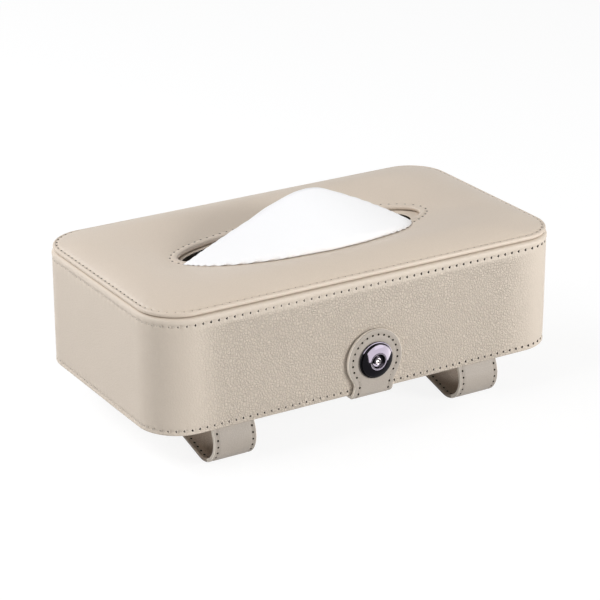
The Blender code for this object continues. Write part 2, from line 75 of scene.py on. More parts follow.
# Boards: grey-brown fibre board cut by a die, which keeps the wall, the top and the bottom flap stiff.
# They are covered on all sides, so only their cut edges could show where a slot or hinge opens.
class Shade:
    """A socket of a material. Sums written on it become Math nodes, and node() adds any other kind."""

    def __init__(self, tree, socket=None):
        self.tree = tree
        self.socket = socket

    def node(self, kind, settings=None, inputs=None, output=0):
        made = self.tree.nodes.new("ShaderNode" + kind)
        for name, value in (settings or {}).items():
            if name == "stops":
                for index, (place, level) in enumerate(value):
                    stops = made.color_ramp.elements
                    stop = stops[index] if index < len(stops) else stops.new(place)
                    stop.position = place
                    stop.color = (level, level, level, 1)
            else:
                setattr(made, name, value)
        for name, value in (inputs or {}).items():
            if isinstance(value, Shade):
                self.tree.links.new(value.socket, made.inputs[name])
            else:
                made.inputs[name].default_value = value
        return Shade(self.tree, made.outputs[output])

    def math(self, operation, first, second):
        return self.node("Math", {"operation": operation}, {0: first, 1: second})

    def __add__(self, other):
        return self.math("ADD", self, other)

    def __sub__(self, other):
        return self.math("SUBTRACT", self, other)

    def __rsub__(self, other):
        return self.math("SUBTRACT", other, self)

    def __mul__(self, other):
        return self.math("MULTIPLY", self, other)

    def __rmul__(self, other):
        return self.math("MULTIPLY", other, self)

    def __pow__(self, power):
        return self.math("POWER", self, power)

    def place(self):
        """The point's own place in the holder, in metres."""
        return self.node("TexCoord", output=3)

    def parts(self):
        """The x, y and z of a vector."""
        split = self.node("SeparateXYZ", {}, {"Vector": self}).socket.node
        return [Shade(self.tree, part) for part in split.outputs]

    def wave(self, pitch):
        """A wave from -1 to 1 that repeats after a length."""
        return self.node("Math", {"operation": "SINE"}, {0: self * (2 * pi / pitch)})

    def ramp(self, start, end, low, high):
        """Goes smoothly from low at start to high at end."""
        return self.node("MapRange", {"interpolation_type": "SMOOTHSTEP"},
                         {0: self, 1: start, 2: end, 3: low, 4: high})

    def noise(self, scale, detail=3.0):
        return self.node("TexNoise", {}, {"Vector": self.place(), "Scale": scale, "Detail": detail})

    def blend(self, share, first, second):
        """A colour between two colours."""
        return self.node("Mix", {"data_type": "RGBA"}, {0: share, 6: first, 7: second}, output=2)

    def colour_at_level(self, colour, light):
        """One colour, darker or lighter with a level."""
        return self.node("VectorMath", {"operation": "SCALE"}, {0: colour, 3: light})

    def relief(self, height, depth):
        """The normal of a surface raised by height, from 0 to 1, times a depth."""
        return self.node("Bump", {}, {"Height": height, "Distance": depth, "Strength": 1.0})


def tone(red, green, blue, level=1.0):
    return (red * level, green * level, blue * level, 1)


def make_finish(name, sockets):
    """A material whose sockets get what the function sockets(shade) gives for them."""
    material = bpy.data.materials.new(name)
    material.use_nodes = True
    tree = material.node_tree
    shader = tree.nodes["Principled BSDF"]
    for socket, value in sockets(Shade(tree)).items():
        if isinstance(value, Shade):
            tree.links.new(value.socket, shader.inputs[socket])
        else:
            shader.inputs[socket].default_value = value
    return material


def fibre_board(shade):
    fibres = shade.noise(900, 6)
    return {"Base Color": shade.blend(fibres, tone(0.20, 0.16, 0.12), tone(0.33, 0.28, 0.21)),
            "Roughness": 0.92, "Normal": shade.relief(fibres, 0.0001)}


board_finish = make_finish("fibre_board", fibre_board)


def refinish(finish, *nodes):
    """Gives carried-over nodes of the model a finish."""
    for node in nodes:
        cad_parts[node].data.materials.clear()
        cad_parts[node].data.materials.append(finish)


refinish(board_finish, "wall_board", "top_board", "flap_board")


# Linings: a thin brown cloth glued inside the wall, under the top and on the flap's inner face. It is a plain
# weave, two threads to the millimetre, which shows inside when the flap is open.
WEAVE_PITCH = 0.0005


def lining_cloth(shade):
    x, y, z = shade.place().parts()
    weave = x.wave(WEAVE_PITCH) * (y + z).wave(WEAVE_PITCH) * 0.5 + 0.5
    patches = shade.noise(60)
    colour = shade.blend(weave * 0.6 + patches * 0.3, tone(0.12, 0.095, 0.075), tone(0.24, 0.20, 0.16))
    return {"Base Color": colour, "Roughness": 0.9, "Sheen Weight": 0.2,
            "Normal": shade.relief(weave, 0.00008)}


lining_finish = make_finish("lining_cloth", lining_cloth)
refinish(lining_finish, "wall_lining", "top_lining", "flap_lining")


# Wall leather: one pebbled band goes round the board, is turned over its top and bottom edges and sewn
# through. Its edges are rolled, and the thread pulls a groove into it that is deepest at each needle hole.
wall_low, wall_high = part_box("wall_skin")
LENGTH = wall_high.x - wall_low.x
DEPTH = wall_high.y - wall_low.y
MIDDLE_Y = (wall_high.y + wall_low.y) / 2
CORNER_RADIUS = 0.0213
WALL_INSIDE = 0.0043
WALL_HEM = 0.0010
WALL_TOP_RADIUS = 0.0018
WALL_TOP_SHOULDER = 0.0022
WALL_BOTTOM_RADIUS = 0.0008
WALL_TOP_MARGIN = 0.0040
WALL_TOP_ROW = wall_high.z - WALL_TOP_MARGIN
WALL_TOP_PITCH, WALL_TOP_START = 0.00415, 0.0017
WALL_BOTTOM_MARGIN = 0.0023
WALL_BOTTOM_ROW = wall_low.z + WALL_BOTTOM_MARGIN
WALL_BOTTOM_PITCH, WALL_BOTTOM_START = 0.00386, 0.0014
WALL_ROLL = 0.00020
GROOVE_DEPTH, GROOVE_WIDTH = 0.00060, 0.0008
GROOVE_BETWEEN_HOLES = 0.35
DIMPLE_DEPTH, DIMPLE_WIDTH = 0.00012, 0.0022
STATION_STEP = 0.0006
PANEL_STEPS = 16


def even(start, end, steps):
    """Numbers from a start to an end, in even steps."""
    return [start + (end - start) * step / steps for step in range(steps + 1)]


def plan_stations():
    """Stations round the box's plan: a point inside its edge, the way out, and the slot's angle there."""
    half_x, half_y = LENGTH / 2 - CORNER_RADIUS, DEPTH / 2 - CORNER_RADIUS
    corners = [Vector(corner) for corner in ((half_x, half_y), (-half_x, half_y), (-half_x, -half_y),
                                             (half_x, -half_y))]
    corner_span, spans = radians(45), (radians(60), radians(30))
    slot_angle = spans[1] / 2
    stations = []
    for quarter, corner in enumerate(corners):
        steps = round(CORNER_RADIUS * pi / 2 / STATION_STEP)
        for share in even(0, 1, steps)[:-1]:
            angle = (quarter + share) * pi / 2
            stations.append((corner, Vector((cos(angle), sin(angle))), slot_angle + corner_span * share))
        slot_angle += corner_span
        after = corners[(quarter + 1) % 4]
        way = Vector((cos((quarter + 1) * pi / 2), sin((quarter + 1) * pi / 2)))
        steps = round((after - corner).length / STATION_STEP)
        for share in even(0, 1, steps)[:-1]:
            stations.append((corner.lerp(after, share), way, slot_angle + spans[quarter % 2] * share))
        slot_angle += spans[quarter % 2]
    return stations


STATIONS = plan_stations()


def plan_loop(inset, height):
    """The box's outline, drawn in by an inset, at a height."""
    loop = []
    for centre, way, _ in STATIONS:
        point = centre + way * (CORNER_RADIUS - inset)
        loop.append(Vector((point.x, point.y + MIDDLE_Y, height)))
    return loop


def loft(rows, columns, wrap_rows=False, wrap_columns=True, capped=False):
    """Quads over a grid of points kept row by row, and a face over the first and the last row if capped."""
    faces = []
    for row in range(rows if wrap_rows else rows - 1):
        after_row = (row + 1) % rows
        for column in range(columns if wrap_columns else columns - 1):
            after = (column + 1) % columns
            faces.append((row * columns + column, row * columns + after, after_row * columns + after,
                          after_row * columns + column))
    if capped:
        faces += [tuple(start + column for column in range(columns)) for start in (0, (rows - 1) * columns)]
    return faces


def add_piece(name, points, faces, finishes, face_finish=None, sharp=50, closed=True):
    """An object from points and faces in the holder's frame, smooth but for its sharp edges."""
    mesh = bpy.data.meshes.new(name)
    mesh.from_pydata(points, [], faces)
    for finish in finishes:
        mesh.materials.append(finish)
    if face_finish:
        mesh.polygons.foreach_set("material_index", face_finish)
    if closed:
        shape = bmesh.new()
        shape.from_mesh(mesh)
        bmesh.ops.recalc_face_normals(shape, faces=shape.faces)
        shape.to_mesh(mesh)
        shape.free()
    mesh.shade_smooth()
    mesh.set_sharp_from_angle(angle=radians(sharp))
    piece = bpy.data.objects.new(name, mesh)
    bpy.context.scene.collection.objects.link(piece)
    return piece


def add_ring(name, points, finish):
    """A piece whose rows of points each go round the plan, the last row joined to the first."""
    rows = len(points) // len(STATIONS)
    return add_piece(name, points, loft(rows, len(STATIONS), wrap_rows=True), [finish])


class Route:
    """A line over the leather, with the way out of it at each point, read by the distance along it."""

    def __init__(self, points, outward, closed=True):
        self.points = list(points) + ([points[0]] if closed else [])
        self.outward = list(outward) + ([outward[0]] if closed else [])
        self.lengths = [0.0]
        for before, after in zip(self.points, self.points[1:]):
            self.lengths.append(self.lengths[-1] + (after - before).length)
        self.closed = closed

    def at(self, distance):
        """The point, the way out and the way forward."""
        total = self.lengths[-1]
        distance = distance % total if self.closed else min(max(distance, 0), total)
        index = min(bisect_right(self.lengths, distance) - 1, len(self.points) - 2)
        span = self.lengths[index + 1] - self.lengths[index]
        share = (distance - self.lengths[index]) / span if span else 0
        point = self.points[index].lerp(self.points[index + 1], share)
        out = self.outward[index].lerp(self.outward[index + 1], share).normalized()
        return point, out, (self.points[index + 1] - self.points[index]).normalized()

    def stitches(self, pitch):
        """How many whole stitches go along the line, and the length of each."""
        count = max(round(self.lengths[-1] / pitch), 1)
        return count, self.lengths[-1] / count

    def hole_pull(self, pitch, start=0.0):
        """For each point, from 0 halfway along a stitch to 1 at a needle hole."""
        _, step = self.stitches(pitch)
        return [(0.5 + 0.5 * cos(2 * pi * (length - start) / step)) ** 2 for length in self.lengths]


def groove(distance, pull):
    """How far thread pulls the leather in at a distance from the row: a groove, and a dimple at each hole."""
    depth = GROOVE_DEPTH * (GROOVE_BETWEEN_HOLES + (1 - GROOVE_BETWEEN_HOLES) * pull)
    dimple = DIMPLE_DEPTH * pull * exp(-(distance / DIMPLE_WIDTH) ** 2)
    return depth * exp(-(distance / GROOVE_WIDTH) ** 2) + dimple


def ripple(point, amount, size):
    """A slow unevenness of hand-covered leather."""
    return amount * noise.noise(Vector(point) / size)


def wall_profile():
    """Inset and height of each row of the wall leather, over its outside and back through the hems."""
    turn = [(1 - sin(radians(angle)), 1 - cos(radians(angle))) for angle in range(0, 91, 15)]
    beside_row = [0.0002, 0.00045, 0.0007, 0.0010, 0.0013]
    near_row = [-step for step in reversed(beside_row)] + [0] + beside_row
    rows = [(WALL_BOTTOM_RADIUS * inset, wall_low.z + WALL_BOTTOM_RADIUS * rise) for inset, rise in turn]
    rows += [(0, WALL_BOTTOM_ROW + step) for step in near_row]
    rows += [(0, height) for height in even(WALL_BOTTOM_ROW, WALL_TOP_ROW, PANEL_STEPS)[1:-1]]
    rows += [(0, WALL_TOP_ROW + step) for step in near_row] + [(0, wall_high.z - WALL_TOP_SHOULDER)]
    rows += [(WALL_TOP_RADIUS * inset, wall_high.z - WALL_TOP_RADIUS * drop) for inset, drop in turn[::-1]]
    hem_top, hem_bottom = wall_high.z - WALL_HEM, wall_low.z + WALL_HEM
    rows += [(WALL_INSIDE, wall_high.z), (WALL_INSIDE, hem_top), (WALL_HEM, hem_top), (WALL_HEM, hem_bottom),
             (WALL_INSIDE, hem_bottom), (WALL_INSIDE, wall_low.z)]
    return rows


wall_out = [Vector((way.x, way.y, 0)) for _, way, _ in STATIONS]
wall_route = Route(plan_loop(0, 0), wall_out)
top_pull = wall_route.hole_pull(WALL_TOP_PITCH, WALL_TOP_START)
bottom_pull = wall_route.hole_pull(WALL_BOTTOM_PITCH, WALL_BOTTOM_START)
wall_points = []
for inset, height in wall_profile():
    past_top, past_bottom = height - WALL_TOP_ROW, WALL_BOTTOM_ROW - height
    roll = min(max(past_top / WALL_TOP_MARGIN, past_bottom / WALL_BOTTOM_MARGIN, 0), 1)
    for index, point in enumerate(plan_loop(inset, height)):
        if inset < WALL_TOP_RADIUS:
            drawn_in = groove(past_top, top_pull[index]) + groove(past_bottom, bottom_pull[index])
            drawn_in -= ripple(point, amount=0.00012, size=0.028) + WALL_ROLL * sin(pi * roll)
            point -= wall_out[index] * drawn_in
        wall_points.append(point)


def creased_cells(shade, cell):
    """Rounded pebbles with creases between them: 1 on a pebble, 0 in a crease."""
    place = shade.place()
    drift = shade.node("TexNoise", {}, {"Vector": place, "Scale": 0.45 / cell, "Detail": 2.0}, output=1)
    reach = (cell * 0.9,) * 3
    moved = shade.node("VectorMath", {"operation": "MULTIPLY_ADD"}, {0: drift, 1: reach, 2: place})
    edge = shade.node("TexVoronoi", {"feature": "DISTANCE_TO_EDGE"}, {"Vector": moved, "Scale": 1 / cell})
    rise = shade.node("Math", {"operation": "MINIMUM"}, {0: edge * 3.2, 1: 1.0})
    return 1 - (1 - rise) ** 2


LEATHER = (0.636, 0.553, 0.464)
PEBBLE = 0.0014
PEBBLE_DEPTH = 0.00052


def pebbled_leather(shade):
    pebbles = creased_cells(shade, PEBBLE) * 0.7 + creased_cells(shade, PEBBLE * 0.47) * 0.3
    patches = shade.noise(35)
    x, _, z = shade.place().parts()
    from_end = LENGTH / 2 - shade.math("MAXIMUM", x, 0.0 - x)
    under_row = WALL_TOP_ROW - z
    stretched = from_end.ramp(0.012, 0.040, 0.12, 1.0) * under_row.ramp(0.0005, 0.0035, 0.15, 1.0)
    # Lighter band from the top stitching row up over the rolled top edge: a painted highlight where that edge
    # catches the light.
    top_edge_highlight = z.ramp(WALL_TOP_ROW + 0.0005, WALL_TOP_ROW + 0.0018, 0.0, 1.0)
    # Pebble tops lighter and creases darker in colour: partly the grain's own tone, partly painted shade in
    # the creases.
    light = pebbles * 0.26 * stretched + patches * 0.06 + 0.82 + 0.07 * (1 - stretched) + 0.08 * top_edge_highlight
    return {"Base Color": shade.colour_at_level(LEATHER, light), "Roughness": 0.56 - pebbles * 0.06,
            "Specular IOR Level": 0.42, "Normal": shade.relief(pebbles * stretched, PEBBLE_DEPTH)}


pebbled_finish = make_finish("pebbled_leather", pebbled_leather)
wall_leather = add_ring("wall_leather", wall_points, pebbled_finish)
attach(wall_leather, "case")
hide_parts("wall_skin")


# Wall stitching: waxed thread of the leather's own colour, one row along each edge of the wall. Between its
# needle holes, drawn as dark discs of painted shade, each stitch lies in the groove, and it dips into the
# hole at both ends.
THREAD_RADIUS, THREAD_SIDES = 0.00020, 6
THREAD_LIFT, THREAD_DIP = 0.00002, 0.0006
THREAD_STEPS = (0, 0.07, 0.18, 0.35, 0.5, 0.65, 0.82, 0.93, 1)
HOLE_RADIUS, HOLE_SIDES = 0.00098, 10
HOLE_STRETCH = 1.1
HOLE_FLOOR = 0.00014
HOLE_RINGS = ((0.95, HOLE_FLOOR), (1.0, 0.00022), (1.3, 0.00026), (1.6, -0.00005))
HOLE_LEVEL = GROOVE_DEPTH * 0.75


def circle(sides):
    """The cosine and sine of even turns round a circle."""
    return [(cos(2 * pi * turn / sides), sin(2 * pi * turn / sides)) for turn in range(sides)]


class Stitching:
    """Rows of stitches in one mesh: a thread from each needle hole to the next, and the holes as dark discs
    of painted shade.
    """

    def __init__(self):
        self.points = []
        self.faces = []
        self.finish = []

    def sew(self, route, pitch, start=0.0, hole=HOLE_RADIUS):
        """A row along a route. The hole's radius is a number, or a function of the hole's place."""
        count, step = route.stitches(pitch)
        for stitch in range(count):
            self.add_thread(route, start + stitch * step, step)
        for index in range(count if route.closed else count + 1):
            place = route.at(start + index * step)
            self.add_hole(*place, hole(place[0]) if callable(hole) else hole)

    def add_thread(self, route, start, step):
        first = len(self.points)
        for share in THREAD_STEPS:
            point, out, forward = route.at(start + share * step)
            side = forward.cross(out).normalized()
            centre = point + out * (THREAD_LIFT - THREAD_DIP * (2 * share - 1) ** 6)
            self.points += [centre + (side * x + out * y) * THREAD_RADIUS for x, y in circle(THREAD_SIDES)]
        quads = loft(len(THREAD_STEPS), THREAD_SIDES)
        self.faces += [tuple(first + corner for corner in quad) for quad in quads]
        self.finish += [0] * len(quads)

    def add_hole(self, point, out, forward, radius):
        """A hole as a dark disc of painted shade, and the raised rim round it: rings at shares of its radius,
        each at its own level.
        """
        first = len(self.points)
        side = forward.cross(out).normalized()
        self.points.append(point + out * HOLE_FLOOR)
        for reach, level in HOLE_RINGS:
            for x, y in circle(HOLE_SIDES):
                spoke = (forward * HOLE_STRETCH * x + side * y) * radius * reach
                self.points.append(point + spoke + out * level)
        for turn in range(HOLE_SIDES):
            self.faces.append((first, first + 1 + turn, first + 1 + (turn + 1) % HOLE_SIDES))
        quads = loft(len(HOLE_RINGS), HOLE_SIDES)
        self.faces += [tuple(first + 1 + corner for corner in quad) for quad in quads]
        self.finish += [1] * 2 * HOLE_SIDES + [0] * 2 * HOLE_SIDES

    def piece(self, name, thread=None):
        finishes = [thread or thread_finish, hole_shade_finish]
        return add_piece(name, self.points, self.faces, finishes, self.finish, sharp=80)


def sewing_thread(shade, level=1.0):
    twist = shade.noise(2600, 2)
    return {"Base Color": shade.blend(twist, tone(0.56, 0.49, 0.42, level), tone(0.66, 0.59, 0.50, level)),
            "Roughness": 0.55, "Sheen Weight": 0.15, "Normal": shade.relief(twist, 0.00005)}


# Near-black discs at the needle holes: painted shade of the holes.
def painted_hole_shade(shade):
    colour = shade.blend(shade.noise(1500), tone(0.018, 0.014, 0.012), tone(0.035, 0.028, 0.024))
    return {"Base Color": colour, "Roughness": 0.95, "Specular IOR Level": 0.1}


thread_finish = make_finish("sewing_thread", sewing_thread)
hole_shade_finish = make_finish("painted_hole_shade", painted_hole_shade)
wall_stitching = Stitching()
for row, pitch, start in ((WALL_TOP_ROW, WALL_TOP_PITCH, WALL_TOP_START),
                          (WALL_BOTTOM_ROW, WALL_BOTTOM_PITCH, WALL_BOTTOM_START)):
    wall_stitching.sew(Route(plan_loop(HOLE_LEVEL, row), wall_out), pitch, start)
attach(wall_stitching.piece("wall_stitching"), "case")


# Padded top: smooth leather over foam and a thin board, turned under at the flange and in the slot. It swells
# between the two sewn rows, steep behind the flange and softer towards the slot.
top_low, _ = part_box("top_skin")
FLANGE_INSET = 0.0005
FLANGE_THICKNESS = 0.0024
FLANGE_TOP = top_low.z + FLANGE_THICKNESS
FLANGE_ROUNDING = 0.0011
TOP_ROW_INSET = FLANGE_INSET + 0.0019
FLANGE_PITCH, FLANGE_START = 0.00394, 0.0005
SLOT_PITCH = 0.0042
TOP_HEM, TOP_HEM_THICKNESS = 0.0080, 0.0006
CROWN, CROWN_REACH = 0.0048, 0.62
FLANGE_STEEPNESS, SLOT_STEEPNESS = 2.6, 1.7
CALM_EDGE = 0.01
SLOT_HALF_LENGTH = 0.0692
SLOT_HALF_WIDTH = 0.0196
SLOT_ROW = 0.0041
SLOT_BAND = 0.0055
SLOT_EDGE = 0.0011
SLOT_ROLL = 0.00022
# Closer together at both ends, where the thread draws the leather down
PAD_SHARES = (0, 0.008, 0.018, 0.03, 0.05, 0.075, 0.105, 0.14, 0.18, 0.225, 0.275, 0.33, 0.39, 0.45, 0.51,
              0.57, 0.63, 0.69, 0.745, 0.795, 0.84, 0.88, 0.915, 0.945, 0.97, 0.985, 1)


def slot_loop(outset, height):
    """The slot's oval, spread by an outset, with a point for each station of the plan."""
    half_x, half_y = SLOT_HALF_LENGTH + outset, SLOT_HALF_WIDTH + outset
    return [Vector((half_x * cos(angle), MIDDLE_Y + half_y * sin(angle), height)) for _, _, angle in STATIONS]


def crown(share):
    """Height of the padding over the flange, from the flange's row at 0 to the slot's band at 1."""
    rise = 1 - (1 - min(share / CROWN_REACH, 1)) ** FLANGE_STEEPNESS
    fall = 1 - (1 - min((1 - share) / CROWN_REACH, 1)) ** SLOT_STEEPNESS
    return CROWN * rise * fall


def rounded(loop, edge, reach, middle, rise, angles):
    """Rows of a loop round an edge: from its outermost place it draws in by reach, and climbs by rise."""
    points = []
    for angle in angles:
        points += loop(edge + reach * (1 - cos(radians(angle))), middle + rise * sin(radians(angle)))
    return points


def sewn_row(loop, place, level, row, pull, drawn=-1):
    """A loop near a sewn row, drawn down by the thread, or up where drawn is 1."""
    points = loop(place, level)
    for point, share in zip(points, pull):
        point.z += drawn * groove(place - row, share)
    return points


UP = Vector((0, 0, 1))
top_out = [UP] * len(STATIONS)
flange_route = Route(plan_loop(TOP_ROW_INSET, FLANGE_TOP - HOLE_LEVEL), top_out)
slot_route = Route(slot_loop(SLOT_ROW, FLANGE_TOP - HOLE_LEVEL), top_out)
flange_pull = flange_route.hole_pull(FLANGE_PITCH, FLANGE_START)
slot_pull = slot_route.hole_pull(SLOT_PITCH)
flange_middle = top_low.z + FLANGE_THICKNESS / 2
flange_half = FLANGE_THICKNESS / 2
top_points = plan_loop(FLANGE_INSET + TOP_HEM, top_low.z)
top_points += rounded(plan_loop, FLANGE_INSET, FLANGE_ROUNDING, flange_middle, flange_half,
                      range(-90, 91, 18))
for inset in (0.0018, 0.0020, 0.0022, 0.0023):
    top_points += sewn_row(plan_loop, inset, FLANGE_TOP, TOP_ROW_INSET, flange_pull)
for share in PAD_SHARES:
    outer, inner = plan_loop(TOP_ROW_INSET, 0), slot_loop(SLOT_BAND, 0)
    for index, (start, end) in enumerate(zip(outer, inner)):
        point = start.lerp(end, share)
        from_flange, from_slot = (point - start).length, (point - end).length
        level = FLANGE_TOP + crown(share) - groove(from_flange, flange_pull[index])
        level -= groove(from_slot + SLOT_BAND - SLOT_ROW, slot_pull[index])
        calm = min(from_flange, from_slot, CALM_EDGE) / CALM_EDGE
        level += ripple(point, amount=0.00030, size=0.030) * calm
        top_points.append(Vector((point.x, point.y, level)))
for outset in (0.0050, 0.0046, 0.0043, 0.0041, 0.0039, 0.0036, 0.0032, 0.0027, 0.0022, 0.0016):
    roll = SLOT_ROLL * sin(pi * min((outset - SLOT_EDGE) / (SLOT_ROW - SLOT_EDGE), 1))
    top_points += sewn_row(slot_loop, outset, FLANGE_TOP + roll, SLOT_ROW, slot_pull)
top_points += rounded(slot_loop, 0, SLOT_EDGE, flange_middle, flange_half, range(90, -91, -20))
hem_level = top_low.z + TOP_HEM_THICKNESS
top_points += slot_loop(TOP_HEM, top_low.z) + slot_loop(TOP_HEM, hem_level)
top_points += plan_loop(FLANGE_INSET + TOP_HEM, hem_level)


SMOOTH_GRAIN = 0.00075


def smooth_leather(shade):
    grain = creased_cells(shade, SMOOTH_GRAIN)
    colour = shade.colour_at_level((0.650, 0.554, 0.456), shade.noise(30) * 0.07 + grain * 0.05 + 0.92)
    return {"Base Color": colour, "Roughness": 0.46 - grain * 0.05, "Specular IOR Level": 0.5,
            "Normal": shade.relief(grain, 0.00003)}


smooth_finish = make_finish("smooth_leather", smooth_leather)
padded_top = add_ring("padded_top", top_points, smooth_finish)
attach(padded_top, "case")
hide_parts("top_skin", "top_foam")


FLANGE_HOLE, SLOT_HOLE = 0.00048, 0.00050
FRONT_START, FRONT_REACH = -0.035, 0.015


def flange_hole(point):
    """Along the front the dark discs of painted hole shade are drawn at half their size."""
    front = min(max((FRONT_START - point.y) / FRONT_REACH, 0), 1)
    return FLANGE_HOLE * (1 - 0.5 * front)


top_stitching = Stitching()
top_stitching.sew(flange_route, FLANGE_PITCH, FLANGE_START, hole=flange_hole)
top_stitching.sew(slot_route, SLOT_PITCH, hole=SLOT_HOLE)
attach(top_stitching.piece("top_stitching"), "case")


# Slot facing: a ring of leather glued under the slot's edge. Its lip stands out past the padded top's edge
# and steadies the sheet that is pulled through.
facing_low, facing_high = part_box("slot_facing")
FACING_WIDTH = 0.0150
LIP_START, LIP_END = -0.0007, -0.0020
LIP_THICKNESS = 0.0006
TONGUE_REACH, TONGUE_TAPER, TONGUE_DROOP = 0.0035, 5, 0.20
lip_half = LIP_THICKNESS / 2
lip_top = facing_high.z + lip_half


def lip_loop(outset, height):
    """The lip's loop: a tongue of it reaches in further at the slot's right end, and droops there."""
    loop = []
    for point, (_, _, angle) in zip(slot_loop(outset, height), STATIONS):
        further = TONGUE_REACH * max(cos(angle), 0) ** TONGUE_TAPER
        loop.append(point - Vector((further * cos(angle), 0, TONGUE_DROOP * further)))
    return loop


facing_points = slot_loop(FACING_WIDTH, facing_low.z)
for outset, rise in ((FACING_WIDTH, 0), (0.0012, 0), (-0.0002, 0.0001), (-0.0003, -0.0001),
                     (LIP_START, lip_half)):
    facing_points += slot_loop(outset, facing_high.z + rise)
for share in (0.25, 0.5, 0.75):
    facing_points += [low.lerp(high, share) for low, high in
                      zip(slot_loop(LIP_START, lip_top), lip_loop(LIP_END + lip_half, lip_top))]
facing_points += rounded(lip_loop, LIP_END, lip_half, lip_top - lip_half, lip_half, range(90, -91, -45))
facing_points += slot_loop(-0.0010, lip_top - LIP_THICKNESS) + slot_loop(-0.0009, facing_low.z)
slot_facing = add_ring("slot_facing_leather", facing_points, smooth_finish)
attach(slot_facing, "case")
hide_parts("slot_facing")


# Bottom flap: pebbled leather turned over a board, sewn all round. It is set inside the wall's bottom edge
# and turns down about its back edge to load a pack of tissues.
flap_low, flap_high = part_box("flap_skin")
FLAP_EDGE = flap_low.x - wall_low.x
FLAP_EDGE_RADIUS = 0.0012
FLAP_HEM = 0.0080
FLAP_FLAT_INSET = 0.0200
FLAP_LINING = 0.0007
FLAP_ROW = FLAP_EDGE + 0.0034
FLAP_PITCH = 0.0042
flap_route = Route(plan_loop(FLAP_ROW, flap_low.z + HOLE_LEVEL), [-UP] * len(STATIONS))
flap_pull = flap_route.hole_pull(FLAP_PITCH)
flap_points = plan_loop(FLAP_FLAT_INSET, flap_low.z)
for inset in (0.0030, 0.0012, 0.0008, 0.0005, 0.00025, 0, -0.00025, -0.0005, -0.0008, -0.0012):
    flap_points += sewn_row(plan_loop, FLAP_ROW + inset, flap_low.z, FLAP_ROW, flap_pull, drawn=1)
for middle, angles in ((flap_low.z + FLAP_EDGE_RADIUS, range(-90, 1, 18)),
                       (flap_high.z - FLAP_EDGE_RADIUS, range(0, 91, 18))):
    flap_points += rounded(plan_loop, FLAP_EDGE, FLAP_EDGE_RADIUS, middle, FLAP_EDGE_RADIUS, angles)
flap_points += plan_loop(FLAP_EDGE + FLAP_HEM, flap_high.z)
flap_points += plan_loop(FLAP_EDGE + FLAP_HEM, flap_high.z - FLAP_LINING)
flap_faces = loft(len(flap_points) // len(STATIONS), len(STATIONS), capped=True)
flap_leather = add_piece("flap_leather", flap_points, flap_faces, [pebbled_finish])
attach(flap_leather, "base_flap")
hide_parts("flap_skin")
flap_stitching = Stitching()
flap_stitching.sew(flap_route, FLAP_PITCH)
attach(flap_stitching.piece("flap_stitching"), "base_flap")


# Hinge strip: thin leather glued and sewn under the wall's back edge and under the flap, across the gap
# between them.
SHORTEST_GAP = 0.00008


class Strip:
    """A leather strip along a path in the y, z plane. Places on it are across, along and off the path."""

    def __init__(self, corners, radii, middle, arc_steps=14, lean=lambda along: 0.0, rise=0.0):
        path = [Vector(corners[0])]
        for index, radius in enumerate(radii):
            before, corner, after = (Vector(corners[index + shift]) for shift in range(3))
            way_in, way_out = (corner - before).normalized(), (after - corner).normalized()
            turn = way_in.angle(way_out)
            side = 1 if way_in.x * way_out.y - way_in.y * way_out.x > 0 else -1
            centre = corner + (way_out - way_in).normalized() * (radius / cos(turn / 2))
            spoke = Vector((way_in.y, -way_in.x)) * side * radius
            for angle in even(0, side * turn, arc_steps):
                path.append(centre + Vector((spoke.x * cos(angle) - spoke.y * sin(angle),
                                             spoke.x * sin(angle) + spoke.y * cos(angle))))
        path.append(Vector(corners[-1]))
        flat = [Vector((0, point.x, point.y)) for point in path]
        left = []
        for index in range(len(flat)):
            way = flat[min(index + 1, len(flat) - 1)] - flat[max(index - 1, 0)]
            left.append(Vector((0, -way.z, way.y)).normalized())
        self.route = Route(flat, left, closed=False)
        self.length = self.route.lengths[-1]
        self.middle = middle
        self.lean = lean
        self.rise = rise

    def stops(self, step):
        """Distances along the path: its own points, and more where they are further apart than a step."""
        stops = [0.0]
        for length in self.route.lengths[1:]:
            gap = length - stops[-1]
            if gap < SHORTEST_GAP:
                continue
            count = max(int(gap / step), 1)
            stops += [stops[-1] + gap * (share + 1) / count for share in range(count)]
        return stops

    def lowest(self):
        """The distance along the path of its lowest point."""
        return min(zip(self.route.points, self.route.lengths), key=lambda pair: pair[0].z)[1]

    def place(self, across, along, off):
        point, left, _ = self.route.at(along)
        return point + left * (off + self.rise) + Vector((self.middle + across + self.lean(along), 0, 0))

    def line(self, marks, off):
        """A route for thread over marks across and along. Its way out is the side that off is on."""
        side = 1 if off > 0 else -1
        points = [self.place(across, along, off) for across, along in marks]
        outward = [self.route.at(along)[1] * side for _, along in marks]
        return Route(points, outward, closed=False)


def straight(start, end, steps):
    """Marks across and along a strip, from one place straight to another."""
    return list(zip(even(start[0], end[0], steps), even(start[1], end[1], steps)))


EDGE_ROUNDING = 0.0006
EDGE_COLUMNS = 3
SPLIT_DEPTH = 0.00010
STRIP_GROOVE_DEPTH, STRIP_GROOVE_WIDTH = 0.6 * GROOVE_DEPTH, 0.8 * GROOVE_WIDTH
STRIP_THREAD_DEPTH = 0.5 * GROOVE_DEPTH


def half_thickness(thickness, from_edge, row):
    """Half a strip's thickness at a distance from its cut edge: rounded there, and drawn in at a sewn row."""
    rounding = min(EDGE_ROUNDING, thickness * 0.3)
    lost = rounding - sqrt(max(rounding ** 2 - (rounding - min(from_edge, rounding)) ** 2, 0))
    pulled = STRIP_GROOVE_DEPTH * exp(-((from_edge - row) / STRIP_GROOVE_WIDTH) ** 2) if row else 0
    return thickness / 2 - lost - pulled


